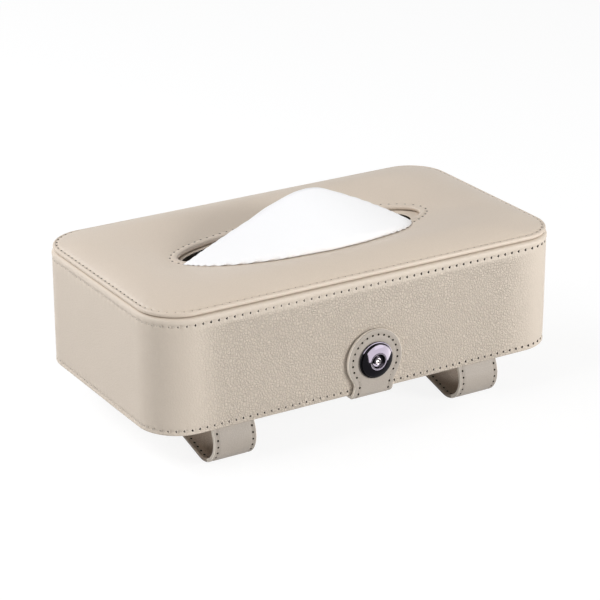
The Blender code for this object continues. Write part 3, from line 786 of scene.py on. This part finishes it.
def add_strip(name, strip, stops, half_width, from_edge, thickness, finishes, row=0.0, shares=17,
              paint_end=1.0):
    """The strip's mesh: two faces, and cut edges with the join between its two leathers.

    half_width is a number or a function of the distance along, and from_edge(across, along) the distance to
    the nearest edge. The edges take the painted edge finish up to paint_end metres along, and past that the
    faces' own finishes, which are darker.
    """
    spread = [sin(angle) ** 0.8 for angle in even(0, pi / 2, shares)]
    spread = [-share for share in reversed(spread[1:])] + spread
    columns = len(spread)
    ring = 2 * columns + 2
    points = []
    for along in stops:
        width = half_width(along) if callable(half_width) else half_width
        levels = [(width * share, half_thickness(thickness, from_edge(width * share, along), row))
                  for share in spread]
        points += [strip.place(across, along, level) for across, level in levels]
        points.append(strip.place(max(width - SPLIT_DEPTH, 0), along, 0))
        points += [strip.place(across, along, -level) for across, level in reversed(levels)]
        points.append(strip.place(min(SPLIT_DEPTH - width, 0), along, 0))
    faces = loft(len(stops), ring)
    edge_columns = [columns - 1, columns, ring - 2, ring - 1]
    for column in range(EDGE_COLUMNS):
        edge_columns += [column, columns - 2 - column, columns + 1 + column, ring - 3 - column]
    without_edge_finish = [0 if column < columns else 1 for column in range(ring)]
    without_edge_finish[columns - 1] = without_edge_finish[columns] = without_edge_finish[ring - 2] = without_edge_finish[ring - 1] = 0
    painted = [2 if column in edge_columns else without_edge_finish[column] for column in range(ring)]
    face_finish = []
    for along in stops[1:]:
        face_finish += painted if along < paint_end else without_edge_finish
    for start in (0, (len(stops) - 1) * ring):
        for column in range(columns - 1):
            mirrored = 2 * columns - column
            faces.append((start + column, start + column + 1, start + mirrored - 1, start + mirrored))
            face_finish.append(2)
        faces.append((start + columns - 1, start + columns, start + columns + 1))
        faces.append((start, start + 2 * columns, start + ring - 1))
        face_finish += [2, 2]
    return add_piece(name, points, faces, finishes, face_finish, sharp=60)


hinge_low, hinge_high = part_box("flap_hinge_strip")
HINGE_ROW = 0.0018
HINGE_PITCH = 0.0042
HINGE_STEPS = 24
hinge_level = (hinge_low.z + hinge_high.z) / 2
hinge_half = (hinge_high.x - hinge_low.x) / 2
hinge_thickness = hinge_high.z - hinge_low.z
hinge_strip = Strip([(hinge_low.y, hinge_level), (hinge_high.y, hinge_level)], [], 0)


def hinge_edge(across, along):
    return min(hinge_half - abs(across), along, hinge_strip.length - along)


STRAP_GRAIN, INNER_GRAIN = 0.0009, 0.0008


def dark_leather(shade):
    grain = creased_cells(shade, STRAP_GRAIN)
    colour = shade.colour_at_level((0.416, 0.367, 0.318), shade.noise(60) * 0.12 + grain * 0.08 + 0.84)
    return {"Base Color": colour, "Roughness": 0.52, "Specular IOR Level": 0.45,
            "Normal": shade.relief(grain, 0.00005)}


def painted_edge(shade):
    fibres = shade.noise(700, 4)
    return {"Base Color": shade.blend(fibres, tone(0.84, 0.76, 0.66), tone(0.92, 0.86, 0.77)),
            "Roughness": 0.5, "Normal": shade.relief(fibres, 0.00004)}


def inner_leather(shade):
    grain = creased_cells(shade, INNER_GRAIN)
    return {"Base Color": shade.blend(grain, tone(0.37, 0.30, 0.245), tone(0.53, 0.45, 0.38)),
            "Roughness": 0.75, "Normal": shade.relief(grain, 0.00005)}


strap_finish = make_finish("strap_leather", dark_leather)
edge_finish = make_finish("painted_edge", painted_edge)
dark_thread_finish = make_finish("dark_sewing_thread", lambda shade: sewing_thread(shade, 0.68))
inner_finish = make_finish("strap_inner_leather", inner_leather)
hinge_stops = even(0, hinge_strip.length, HINGE_STEPS)
hinge_leather = add_strip("hinge_strip_leather", hinge_strip, hinge_stops, hinge_half, hinge_edge,
                          hinge_thickness, [strap_finish, strap_finish, edge_finish], shares=30)
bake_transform(hinge_leather)
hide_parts("flap_hinge_strip")
hinge_stitching = Stitching()
for along in (HINGE_ROW, hinge_strip.length - HINGE_ROW):
    marks = straight((HINGE_ROW - hinge_half, along), (hinge_half - HINGE_ROW, along), steps=40)
    hinge_stitching.sew(hinge_strip.line(marks, -hinge_thickness / 2), HINGE_PITCH)
hinge_threads = hinge_stitching.piece("hinge_stitching")
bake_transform(hinge_threads)


# Snap plate: the fixed half of the magnetic snap, a steel disc pressed into the wall's leather, with the
# washer that its two prongs are bent over behind the board.
tab_low, tab_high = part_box("tab_skin")
cap_low, cap_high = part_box("snap_cap")
magnet_low, magnet_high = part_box("snap_magnet")
SNAP_X = (cap_low.x + cap_high.x) / 2
SNAP_Z = (cap_low.z + cap_high.z) / 2
CAP_RADIUS = (cap_high.x - cap_low.x) / 2
MAGNET_RADIUS = (magnet_high.x - magnet_low.x) / 2
TURNED_SIDES = 96


def add_turned(name, profile, face_y, finish):
    """A turned piece about the snap's line: profile points are radius and distance out from face_y."""
    points = []
    for radius, out in profile:
        points += [(SNAP_X + radius * x, face_y - out, SNAP_Z + radius * z) for x, z in circle(TURNED_SIDES)]
    return add_piece(name, points, loft(len(profile), TURNED_SIDES, capped=True), [finish], sharp=35)


def brushed_steel(shade):
    marks = shade.noise(1400, 5)
    return {"Base Color": shade.blend(marks, tone(0.42, 0.42, 0.43), tone(0.56, 0.56, 0.57)), "Metallic": 1.0,
            "Roughness": marks * 0.15 + 0.28, "Normal": shade.relief(marks, 0.000012)}


steel_finish = make_finish("brushed_steel", brushed_steel)
plate_profile = [(0.0002, 0.00006), (0.0012, 0.00006), (0.0014, -0.00040), (0.0022, -0.00040),
                 (0.0024, 0.00010), (0.0055, 0.00012), (MAGNET_RADIUS - 0.0004, 0.00012),
                 (MAGNET_RADIUS - 0.0001, 0.00004), (MAGNET_RADIUS, -0.0006), (0.0002, -0.0006)]
snap_plate = add_turned("snap_plate_disc", plate_profile, wall_low.y, steel_finish)
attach(snap_plate, "case")
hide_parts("snap_plate")
refinish(steel_finish, "snap_washer")


# Closing tab: two leathers sewn together, with a round head that carries the snap. It folds up in front of
# the wall from a root sewn under the flap, and its cut edge is painted a shade lighter.
root_low, root_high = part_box("tab_root")
TAB_THICKNESS = 0.0020
TAB_FRONT_Y = tab_low.y + TAB_THICKNESS / 2
TAB_ROOT_Z = (root_low.z + root_high.z) / 2
TAB_X = (tab_low.x + tab_high.x) / 2
TAB_HEAD_RADIUS = (tab_high.x - tab_low.x) / 2
TAB_NECK_HALF = 0.0112
TAB_ROW = 0.0027
TAB_PITCH, TAB_HOLE = 0.0033, 0.00058
TAB_BEND = 0.0022
TAB_LEAN = 0.0013
WAIST_REACH, WAIST_EASE = 0.0022, 0.0006
FLARE_REACH, FLARE = 0.004, 0.0004
TAB_END_ANGLE = radians(88.5)
TAB_STEP, WAIST_STEP = 0.0009, 0.0004
HEAD_STEPS, ARC_STEPS = 52, 40
tab_fold = root_high.y - TAB_FRONT_Y
tab_back_y = tab_low.y + TAB_THICKNESS


def tab_lean(along):
    """The tab is sewn a little to the left under the flap, and comes straight by its waist."""
    return -TAB_LEAN * min(max((tab_waist - along) / (tab_waist - tab_fold), 0), 1) ** 1.5


tab_strip = Strip([(root_high.y, TAB_ROOT_Z), (TAB_FRONT_Y, TAB_ROOT_Z), (TAB_FRONT_Y, tab_high.z)],
                  [TAB_BEND], TAB_X, lean=tab_lean)
tab_head = tab_strip.length - TAB_HEAD_RADIUS
tab_waist = tab_head - sqrt(TAB_HEAD_RADIUS ** 2 - TAB_NECK_HALF ** 2)


def tab_half_width(along):
    """A straight neck, a round head, a soft waist between them, and a slight flare at the fold."""
    eased = WAIST_EASE * max(0, 1 - abs(along - tab_waist) / WAIST_REACH) ** 2
    if along > tab_waist:
        return sqrt(max(TAB_HEAD_RADIUS ** 2 - (along - tab_head) ** 2, 0)) + eased
    return TAB_NECK_HALF + eased + FLARE * max(0, 1 - abs(along - tab_fold) / FLARE_REACH) ** 2


def tab_edge(across, along):
    if along > tab_head - TAB_HEAD_RADIUS * 0.6:
        return TAB_HEAD_RADIUS - sqrt(across ** 2 + (along - tab_head) ** 2)
    return min(tab_half_width(along) - abs(across), along)


waist_angle = atan2(tab_waist + WAIST_STEP - tab_head, TAB_NECK_HALF)
tab_stops = [stop for stop in tab_strip.stops(TAB_STEP) if stop < tab_waist]
for angle in even(waist_angle, TAB_END_ANGLE, HEAD_STEPS):
    tab_stops.append(tab_head + TAB_HEAD_RADIUS * sin(angle))
tab_leather = add_strip("closing_tab", tab_strip, tab_stops, tab_half_width, tab_edge, TAB_THICKNESS,
                        [strap_finish, inner_finish, edge_finish], row=TAB_ROW, shares=20)
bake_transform(tab_leather)
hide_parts("tab_skin", "tab_backing", "tab_root")
neck_row, head_row = TAB_NECK_HALF - TAB_ROW, TAB_HEAD_RADIUS - TAB_ROW
join_angle = atan2(-sqrt(head_row ** 2 - neck_row ** 2), neck_row)
neck_end = tab_head + head_row * sin(join_angle)
half_outline = straight((neck_row, TAB_ROW), (neck_row, neck_end), steps=60)[:-1]
for angle in even(join_angle, pi / 2, ARC_STEPS):
    half_outline.append((head_row * cos(angle), tab_head + head_row * sin(angle)))
tab_marks = half_outline + [(-across, along) for across, along in reversed(half_outline[:-1])]
tab_stitching = Stitching()
tab_thread_off = TAB_THICKNESS / 2 - STRIP_THREAD_DEPTH
for off in (-tab_thread_off, tab_thread_off):
    tab_stitching.sew(tab_strip.line(tab_marks, off), TAB_PITCH, hole=TAB_HOLE)
tab_threads = tab_stitching.piece("tab_stitching", dark_thread_finish)
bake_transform(tab_threads)


# Snap cap: a pressed, polished gunmetal dome with a rolled rim and a dished middle, held by a hollow rivet
# whose bright head sits in the dish. The magnet in its steel cup is on the tab's other side.
CAP_HEIGHT = cap_high.y - cap_low.y
CREST_RADIUS, CREST_ROUNDING = 0.0039, 0.0003
DISH_DEPTH = 0.0016
DOME_STEPS, DOME_RISE, SHOULDER_RISE = 20, radians(4), radians(21)
SHOULDER_START = CAP_RADIUS - 0.0013
SHOULDER_RADIUS = 0.0008
MAGNET_SEAT = 0.0002
cap_profile = [(radius, CAP_HEIGHT - depth) for radius, depth in
               ((0.0003, DISH_DEPTH), (0.0026, DISH_DEPTH), (0.0030, 0.0014), (0.0033, 0.0009),
                (0.0035, 0.0004))]
for angle in even(radians(170), radians(30), 6):
    cap_profile.append((CREST_RADIUS + CREST_ROUNDING * cos(angle),
                        CAP_HEIGHT - CREST_ROUNDING + CREST_ROUNDING * sin(angle)))
radius, level = CREST_RADIUS + CREST_ROUNDING, CAP_HEIGHT - 0.00008
dome_step = (SHOULDER_START - radius) / DOME_STEPS
for step in range(DOME_STEPS):
    level -= dome_step * tan(DOME_RISE + (SHOULDER_RISE - DOME_RISE) * (step + 0.5) / DOME_STEPS)
    radius += dome_step
    cap_profile.append((radius, level))
for angle in even(SHOULDER_RISE, radians(85), 6)[1:]:
    cap_profile.append((SHOULDER_START + SHOULDER_RADIUS * (sin(angle) - sin(SHOULDER_RISE)),
                        level - SHOULDER_RADIUS * (cos(SHOULDER_RISE) - cos(angle))))
cap_profile += [(CAP_RADIUS - 0.0007, 0.0006), (CAP_RADIUS - 0.0005, 0.0008), (CAP_RADIUS - 0.00015, 0.0007),
                (CAP_RADIUS, 0.0004), (CAP_RADIUS - 0.0002, 0.0001), (CAP_RADIUS - 0.0007, 0), (0.0003, 0)]


def gunmetal(shade):
    haze = shade.noise(90)
    return {"Base Color": shade.blend(haze, tone(0.010, 0.0095, 0.012), tone(0.014, 0.013, 0.0155)),
            "Metallic": 1.0, "Roughness": haze * 0.05 + 0.05, "Normal": shade.relief(haze, 0.00002)}


def bright_nickel(shade):
    haze = shade.noise(400)
    return {"Base Color": shade.blend(haze, tone(0.14, 0.135, 0.14), tone(0.20, 0.19, 0.195)),
            "Metallic": 1.0, "Roughness": haze * 0.08 + 0.20}


gunmetal_finish = make_finish("gunmetal", gunmetal)
nickel_finish = make_finish("bright_nickel", bright_nickel)
snap_cap = add_turned("snap_cap_dome", cap_profile, cap_high.y, gunmetal_finish)
rivet_profile = [(0.0002, 0.0013), (0.0007, 0.0014), (0.0009, 0.0020), (0.0011, 0.0024), (0.0014, 0.0026),
                 (0.0017, 0.0024), (0.0019, 0.0019), (0.0019, 0.0012), (0.0002, 0.0012)]
snap_rivet = add_turned("snap_rivet_head", rivet_profile, cap_high.y, nickel_finish)
magnet_profile = [(0.0003, 0.0008), (0.0003, -0.00005), (0.0022, -0.00005), (0.0024, -0.0001),
                  (0.0024, -0.0003), (0.0034, -0.0003), (0.0036, -0.00012), (0.0060, -0.00012),
                  (0.0061, -0.00028), (MAGNET_RADIUS - 0.0002, -0.00028), (MAGNET_RADIUS, -0.0001),
                  (MAGNET_RADIUS, 0.0008)]
snap_magnet = add_turned("snap_magnet_cup", magnet_profile, tab_back_y - MAGNET_SEAT, steel_finish)
for piece, node, slot in ((snap_cap, "snap_cap", "gunmetal"), (snap_rivet, "snap_rivet", "gunmetal"),
                          (snap_magnet, "snap_magnet", "magnet_steel")):
    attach(piece, "closure_tab")
    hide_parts(node)


# Straps: each is two leathers sewn along both edges. It is sewn under the flap, folds down, turns back at
# its tip and runs up along the underside, where hook tape on its end grips loop tape on the flap. Both are
# sewn on a little to the left of the model's, and are cut a little narrower.
STRAP_TIP = (-0.065175, -0.003835)
STRAP_TIP_RADIUS = 0.0112
STRAP_BEND_RADIUS = 0.020
STRAP_RISE = 0.25
STRAP_END_HEIGHT = 0.017819
STRAP_THICKNESS = 0.0026
STRAP_LEATHERS = 0.0020
STRAP_ROW = 0.0020
STRAP_SHIFTS = {"left": -0.0007, "right": -0.0006}
STRAP_TRIM = 0.0005
STRAP_PITCH, STRAP_HOLE = 0.0033, 0.00056
STRAP_STEP = 0.0012
PAINT_STOP = 0.0035
FOLD_RADIUS = 0.00135
FOLD_REACH = 0.0016
FOLD_END_Z = 0.0174
BOX_SEAM_MARGIN = 0.001
TAPE_HOOK = 0.00045


def tape(shade):
    hooks = shade.node("TexVoronoi", {}, {"Vector": shade.place(), "Scale": 1 / TAPE_HOOK})
    return {"Base Color": shade.blend(hooks, tone(0.09, 0.08, 0.07), tone(0.02, 0.018, 0.016)),
            "Roughness": 0.95, "Sheen Weight": 0.4, "Normal": shade.relief(1 - hooks, 0.0002)}


tape_finish = make_finish("hook_and_loop_tape", tape)
strap_finishes = [inner_finish, strap_finish, edge_finish]
for side in ("left", "right"):
    skin_low, skin_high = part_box(side + "_strap_skin")
    anchor_low, anchor_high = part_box(side + "_strap_anchor")
    strap_x = (skin_low.x + skin_high.x) / 2 + STRAP_SHIFTS[side]
    strap_half = (skin_high.x - skin_low.x) / 2 - STRAP_TRIM
    fold_z = anchor_low.z + STRAP_THICKNESS / 2
    fold = (anchor_low.y - FOLD_REACH, fold_z)
    flat_z = skin_low.z + STRAP_END_HEIGHT
    meet = STRAP_TIP[0] + (flat_z - STRAP_TIP[1]) / STRAP_RISE
    split_share = (fold_z - FOLD_END_Z) / (fold_z - STRAP_TIP[1])
    split = (fold[0] + (STRAP_TIP[0] - fold[0]) * split_share, FOLD_END_Z)
    outward = (STRAP_LEATHERS - STRAP_THICKNESS) / 2
    loop_strip = Strip([split, STRAP_TIP, (meet, flat_z), (skin_high.y, flat_z)],
                       [STRAP_TIP_RADIUS, STRAP_BEND_RADIUS], strap_x, rise=outward)
    fold_strip = Strip([(anchor_high.y, fold_z), fold, split], [FOLD_RADIUS], strap_x, rise=outward)

    def loop_edge(across, along):
        return min(strap_half - abs(across), loop_strip.length - along)

    def fold_edge(across, along):
        return min(strap_half - abs(across), along)

    # Past a little before the tip, on the run back up under the flap, the edges take the faces' darker
    # finishes.
    strap_loop = add_strip(side + "_strap_loop", loop_strip, loop_strip.stops(STRAP_STEP), strap_half,
                           loop_edge, STRAP_LEATHERS, strap_finishes, row=STRAP_ROW,
                           paint_end=loop_strip.lowest() - PAINT_STOP)
    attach(strap_loop, side + "_strap")
    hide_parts(side + "_strap_skin", side + "_strap_backing")
    strap_fold = add_strip(side + "_strap_fold", fold_strip, fold_strip.stops(STRAP_STEP), strap_half,
                           fold_edge, STRAP_LEATHERS, strap_finishes, row=STRAP_ROW)
    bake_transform(strap_fold)
    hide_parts(side + "_strap_anchor")
    row_x, row_off = strap_half - STRAP_ROW, STRAP_LEATHERS / 2 - STRIP_THREAD_DEPTH
    stitching = Stitching()
    for across in (-row_x, row_x):
        marks = straight((across, 0), (across, loop_strip.length - STRAP_ROW), steps=240)
        for off in (-row_off, row_off):
            stitching.sew(loop_strip.line(marks, off), STRAP_PITCH, hole=STRAP_HOLE)
    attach(stitching.piece(side + "_strap_stitching", dark_thread_finish), side + "_strap")
    box_seam = Stitching()
    far, near = STRAP_ROW, anchor_high.y - anchor_low.y - BOX_SEAM_MARGIN
    corners = [(-row_x, far), (row_x, far), (row_x, near), (-row_x, near)]
    for start, end in zip(corners, corners[1:] + corners[:1]):
        marks = straight(start, end, steps=10)
        box_seam.sew(fold_strip.line(marks, row_off), STRAP_PITCH, hole=STRAP_HOLE)
    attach(box_seam.piece(side + "_strap_box_seam", dark_thread_finish), "base_flap")
    refinish(tape_finish, side + "_hook_patch", side + "_loop_patch")


# Stack of tissues: folded sheets, each a soft rounded edge on top of the next, a little out of line with its
# neighbours. It stands for what is left of the pack.
pack_low, pack_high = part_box("tissue_pack")
FOLDED_SHEETS = 26
PACK_CORNER, PACK_CORNER_STEPS = 0.008, 6
PACK_UNEVENNESS = 0.0004
# A folded sheet's soft edge: insets, and the shares of its height that they are at
FOLDED_EDGE = ((0.0012, 0.02), (0.0006, 0.25), (0.0005, 0.6), (0.0011, 0.95))


def pack_loop(inset, height, shift):
    half_x = (pack_high.x - pack_low.x) / 2 - inset - PACK_CORNER
    half_y = (pack_high.y - pack_low.y) / 2 - inset - PACK_CORNER
    loop = []
    for quarter, (side_x, side_y) in enumerate(((1, 1), (-1, 1), (-1, -1), (1, -1))):
        for angle in even(quarter * pi / 2, (quarter + 1) * pi / 2, PACK_CORNER_STEPS):
            loop.append(Vector((side_x * half_x + PACK_CORNER * cos(angle) + shift[0],
                                MIDDLE_Y + side_y * half_y + PACK_CORNER * sin(angle) + shift[1], height)))
    return loop


def tissue_paper(shade):
    fibres = shade.noise(1800, 5)
    dimples = shade.node("TexVoronoi", {}, {"Vector": shade.place(), "Scale": 900.0})
    return {"Base Color": shade.blend(fibres, tone(0.94, 0.94, 0.95), tone(0.98, 0.98, 0.985)),
            "Roughness": 0.9, "Specular IOR Level": 0.2, "Sheen Weight": 0.1,
            "Normal": shade.relief(fibres * 0.6 + dimples * 0.4, 0.00003)}


tissue_finish = make_finish("tissue_paper", tissue_paper)
sheet_rise = (pack_high.z - pack_low.z) / FOLDED_SHEETS
pack_points = []
for layer in range(FOLDED_SHEETS):
    shift = (PACK_UNEVENNESS * sin(layer * 2.3), PACK_UNEVENNESS * sin(layer * 1.7 + 1))
    for inset, share in FOLDED_EDGE:
        loop = pack_loop(inset, pack_low.z + (layer + share) * sheet_rise, shift)
        pack_points += loop
pack_faces = loft(len(pack_points) // len(loop), len(loop), capped=True)
tissue_stack = add_piece("tissue_stack", pack_points, pack_faces, [tissue_finish], sharp=40)
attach(tissue_stack, "case")
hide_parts("tissue_pack")


# Pulled tissue: one facial tissue, picked up by its middle and drawn through the slot. Its two halves spread
# on the stack, gather into the slot, and stand over it as a ridge that swells over the slot's front edge. Two
# drawn lines, its ridge and the edge of its fold on the padding in front, give it its form.
SHEET_COLUMNS = 150
SHEET_ROWS = 130
PAPER_THICKNESS = 0.00012
OVER_TOP = 0.2
panel_low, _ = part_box("pulled_tissue")
PANEL_Z = panel_low.z + 0.0003
RIM_Z = FLANGE_TOP + 0.0002
RIM_GAP = 0.0003
RIM_CLEAR, RIM_EASE, PANEL_EASE = 0.002, 0.012, 0.006
FOLD_LIFT, UNDER_LIFT = 0.00015, 0.0001
LINE_EASE = 0.004
BACK_SWELL = 0.0066
RIDGE = ((-0.0717, -0.0080, RIM_Z), (-0.0375, -0.0039, 0.0960), (-0.0080, 0.0, 0.1056),
         (-0.0005, 0.0004, 0.1065), (0.0075, 0.0003, 0.1063), (0.0125, -0.0004, 0.1049),
         (0.0307, -0.0056, 0.0976), (0.0460, -0.0105, 0.0900), (0.0563, -0.0140, RIM_Z))
FRONT_EDGE = ((-0.0717, -0.0082), (-0.0665, -0.0165), (-0.0510, -0.0262), (-0.0310, -0.0336),
              (-0.0050, -0.0371), (0.0150, -0.0351), (0.0390, -0.0276), (0.0505, -0.0225),
              (0.0563, -0.0141))

# Inside the case: the sheet's left and right ends, how far its back and its front half lie out, and the level
LYING_ROWS = ((-0.091, 0.091, 0.0480, -0.0460, PANEL_Z), (-0.086, 0.086, 0.030, -0.030, PANEL_Z),
              (-0.074, 0.072, 0.012, -0.012, PANEL_Z + 0.0003), (-0.057, 0.055, 0.0030, -0.0025, 0.0535))

# Over the rim: shares of the height, and of the way from the ridge's line to each face
BACK_FACE = ((0.25, 1.0), (0.5, 0.78), (0.75, 0.5), (0.92, 0.22))
FRONT_FACE = ((0.95, 0.10), (0.80, 0.29), (0.62, 0.51), (0.44, 0.71), (0.28, 0.88), (0.15, 0.98), (0.04, 1.0))
PLEAT_DEPTH, PLEAT_TURNS = 0.0016, 31
CREASE_DEPTH, CREASE_TURNS = 0.00045, 7
CREASE_X, CREASE_Z, CREASE_REACH = 0.002, 0.125, 0.035


def on_line(line, x):
    """A drawn line of the sheet at a place along the slot, in the holder's frame."""
    for before, after in zip(line, line[1:]):
        if x <= after[0]:
            share = (x - before[0]) / (after[0] - before[0])
            return [a + (b - a) * share for a, b in zip(before, after)]
    return list(line[-1])


def on_soft_line(line, x):
    """A drawn line's place with the line's corners eased over a few millimetres."""
    reach = min(LINE_EASE, x - line[0][0], line[-1][0] - x)
    samples = [on_line(line, place) for place in even(x - reach, x + reach, 6)]
    return [sum(values) / len(samples) for values in zip(*samples)]


top_mesh = padded_top.data
top_tree = BVHTree.FromPolygons([point.co for point in top_mesh.vertices],
                                [face.vertices for face in top_mesh.polygons])


def on_top(x, y):
    """The padded top's height under a place, or the rim's where the slot is open."""
    touched = top_tree.ray_cast(Vector((x, MIDDLE_Y + y, OVER_TOP)), -UP)[0]
    return max(touched.z, RIM_Z) if touched else RIM_Z


def spread(share, left, right):
    return (left + right) / 2 + (right - left) / 2 * share


def sheet_section(share):
    """Points along the sheet at a share across it, from its back edge over the ridge to its front edge."""
    swell = sqrt(max(1 - share ** 2, 0))
    ridge_x = spread(share, RIDGE[0][0], RIDGE[-1][0])
    _, ridge_y, ridge_z = on_soft_line(RIDGE, ridge_x)
    _, front_y = on_soft_line(FRONT_EDGE, ridge_x)
    front_z = on_top(ridge_x, front_y) + FOLD_LIFT
    at_ends = ridge_y * share ** 4
    lying = [(spread(share, left, right), *places) for left, right, *places in LYING_ROWS]
    points = [(x, back, level) for x, back, _, level in lying]
    for left, right, back, level in (
            (-0.0595, 0.0555, 0.0034, 0.0690), (-0.0650, 0.0565, 0.0050 * swell ** 2 + 0.5 * at_ends, 0.0800),
            (-0.0705, 0.0560, BACK_SWELL * swell ** 2 + 0.3 * ridge_y + 0.7 * at_ends, RIM_Z - 0.0008)):
        points.append((spread(share, left, right), back, level))
    for height, way in BACK_FACE:
        level = RIM_Z + RIM_GAP + (ridge_z - RIM_Z - RIM_GAP) * height
        points.append((ridge_x, ridge_y + BACK_SWELL * way * swell ** 2, level))
    points.append((ridge_x, ridge_y, ridge_z))
    for height, way in FRONT_FACE:
        level = front_z + max(ridge_z - front_z, 0) * height
        points.append((ridge_x, ridge_y + (front_y - ridge_y) * way, level))
    for left, right, way in ((-0.0695, 0.0558, 0.93), (-0.0680, 0.0556, 0.78)):
        under_x = spread(share, left, right)
        points.append((under_x, front_y * way, on_top(under_x, front_y * way) + UNDER_LIFT))
    for left, right, front, level in ((-0.0655, 0.0554, at_ends - 0.0155 * swell ** 0.8, RIM_Z - 0.0008),
                                      (-0.0640, 0.0560, 0.5 * at_ends - 0.0120 * swell, 0.0795),
                                      (-0.0595, 0.0555, -0.0050 * swell, 0.0690)):
        points.append((spread(share, left, right), front, level))
    points += [(x, front, level) for x, _, front, level in reversed(lying)]
    return [Vector((x, MIDDLE_Y + y, z)) for x, y, z in points]


def soft_line(points, count):
    """A smooth line through the points, read at even distances."""
    fine = []
    for index in range(len(points) - 1):
        a, b = points[max(index - 1, 0)], points[index]
        c, d = points[index + 1], points[min(index + 2, len(points) - 1)]
        for t in even(0, 1, 8)[:-1]:
            fine.append(0.5 * (2 * b + (c - a) * t + (2 * a - 5 * b + 4 * c - d) * t ** 2
                               + (3 * b - a - 3 * c + d) * t ** 3))
    fine.append(points[-1])
    route = Route(fine, fine, closed=False)
    return [route.at(distance)[0] for distance in even(0, route.lengths[-1], count - 1)]


# Small pleats run down the sheet inside the case. Over the rim, fine creases fan out from a point above it
sheet_lines = []
for share in even(-1, 1, SHEET_COLUMNS - 1):
    line = soft_line(sheet_section(share), SHEET_ROWS)
    for point in line:
        inside = max(0, min((RIM_Z - RIM_CLEAR - point.z) / RIM_EASE, (point.z - PANEL_Z) / PANEL_EASE, 1))
        above = max(0, min((point.z - RIM_Z - RIM_CLEAR) / RIM_EASE, 1))
        fan = (point.x - CREASE_X) / max(CREASE_REACH, CREASE_Z - point.z)
        point.y += PLEAT_DEPTH * inside * sin(share * PLEAT_TURNS)
        point.y += CREASE_DEPTH * above * sin(fan * CREASE_TURNS + ripple(point, amount=1.2, size=0.02))
        point.z += ripple(point, amount=0.00025, size=0.012) * above
    sheet_lines += line
sheet_faces = loft(SHEET_COLUMNS, SHEET_ROWS, wrap_columns=False)
pulled_sheet = add_piece("pulled_tissue_sheet", sheet_lines, sheet_faces, [tissue_finish], sharp=80,
                         closed=False)
thickness = pulled_sheet.modifiers.new("paper thickness", "SOLIDIFY")
thickness.thickness = PAPER_THICKNESS
thickness.offset = 0
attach(pulled_sheet, "tissue")
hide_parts("pulled_tissue")


# The stage: a wide white floor that keeps the holder's soft shadow, an even pale sky, and three soft lamps.
# The brightest stands low in front on the right, and the other two high on the left and behind.
FLOOR_HALF = 6.0


def in_view(shade):
    """1 where the camera or a mirror sees a surface, and 0 where the surface only lights others."""
    return shade.math("MAXIMUM", shade.node("LightPath", output=0), shade.node("LightPath", output=3))


def grey(level):
    return tone(1, 1, 1, level)


def floor_paper(shade):
    seen = in_view(shade)
    return {"Base Color": shade.blend(seen, grey(0.86), grey(0.17)), "Roughness": 0.9,
            "Specular IOR Level": 0.0, "Emission Color": shade.blend(seen, grey(0), grey(0.87)),
            "Emission Strength": 1.0}


floor_mesh = bpy.data.meshes.new("floor")
floor_corners = [(x * FLOOR_HALF, y * FLOOR_HALF, 0) for x, y in ((-1, -1), (1, -1), (1, 1), (-1, 1))]
floor_mesh.from_pydata(floor_corners, [], [(0, 1, 2, 3)])
floor_mesh.materials.append(make_finish("floor_paper", floor_paper))
floor = bpy.data.objects.new("floor", floor_mesh)
bpy.context.scene.collection.objects.link(floor)

world = bpy.data.worlds.new("sky")
world.use_nodes = True
bpy.context.scene.world = world
sky_level = in_view(Shade(world.node_tree)) * 0.77 + 0.23
background = world.node_tree.nodes["Background"]
background.inputs["Color"].default_value = grey(1)
world.node_tree.links.new(sky_level.socket, background.inputs["Strength"])


def add_lamp(name, place, size, power, aim=CAMERA_AIM, colour=(1, 1, 1)):
    lamp = bpy.data.lights.new(name, "AREA")
    lamp.shape = "RECTANGLE"
    lamp.size, lamp.size_y = size
    lamp.energy = power
    lamp.color = colour
    body = bpy.data.objects.new(name, lamp)
    body.location = place
    body.rotation_euler = (Vector(aim) - Vector(place)).to_track_quat("-Z", "Y").to_euler()
    body.visible_camera = False
    bpy.context.scene.collection.objects.link(body)
    return body


add_lamp("lamp_right", place=(0.72, -1.14, 0.38), size=(0.6, 0.6), power=15.2)
add_lamp("lamp_left", place=(-0.80, 0.05, 0.80), size=(0.6, 0.6), power=5.8)
add_lamp("lamp_back", place=(-0.60, 0.82, 0.80), size=(0.6, 0.4), power=5.9, colour=(0.97, 0.98, 1.02))

# Two small cards light only the snap's polished metal: one in front on the right, for the bright patch on the
# dome, and a faint one over it, for the light line along the rim
snap_centre = Vector((SNAP_X, cap_low.y, SNAP_Z))
polished = bpy.data.collections.new("polished_metal")
for piece in (snap_cap, snap_rivet):
    polished.objects.link(piece)
for name, step, size, power, roll in (("card_front", (0.053, -0.066, 0.004), (0.125, 0.098), 1.85, 32),
                                      ("card_over", (0.050, -0.015, 0.088), (0.050, 0.050), 0.05, 0)):
    card = add_lamp(name, snap_centre + Vector(step), size, power, aim=snap_centre, colour=(1.0, 0.93, 0.92))
    card.rotation_euler.rotate_axis("Z", radians(roll))
    card.light_linking.receiver_collection = polished

bpy.context.scene.view_settings.view_transform = "Standard"
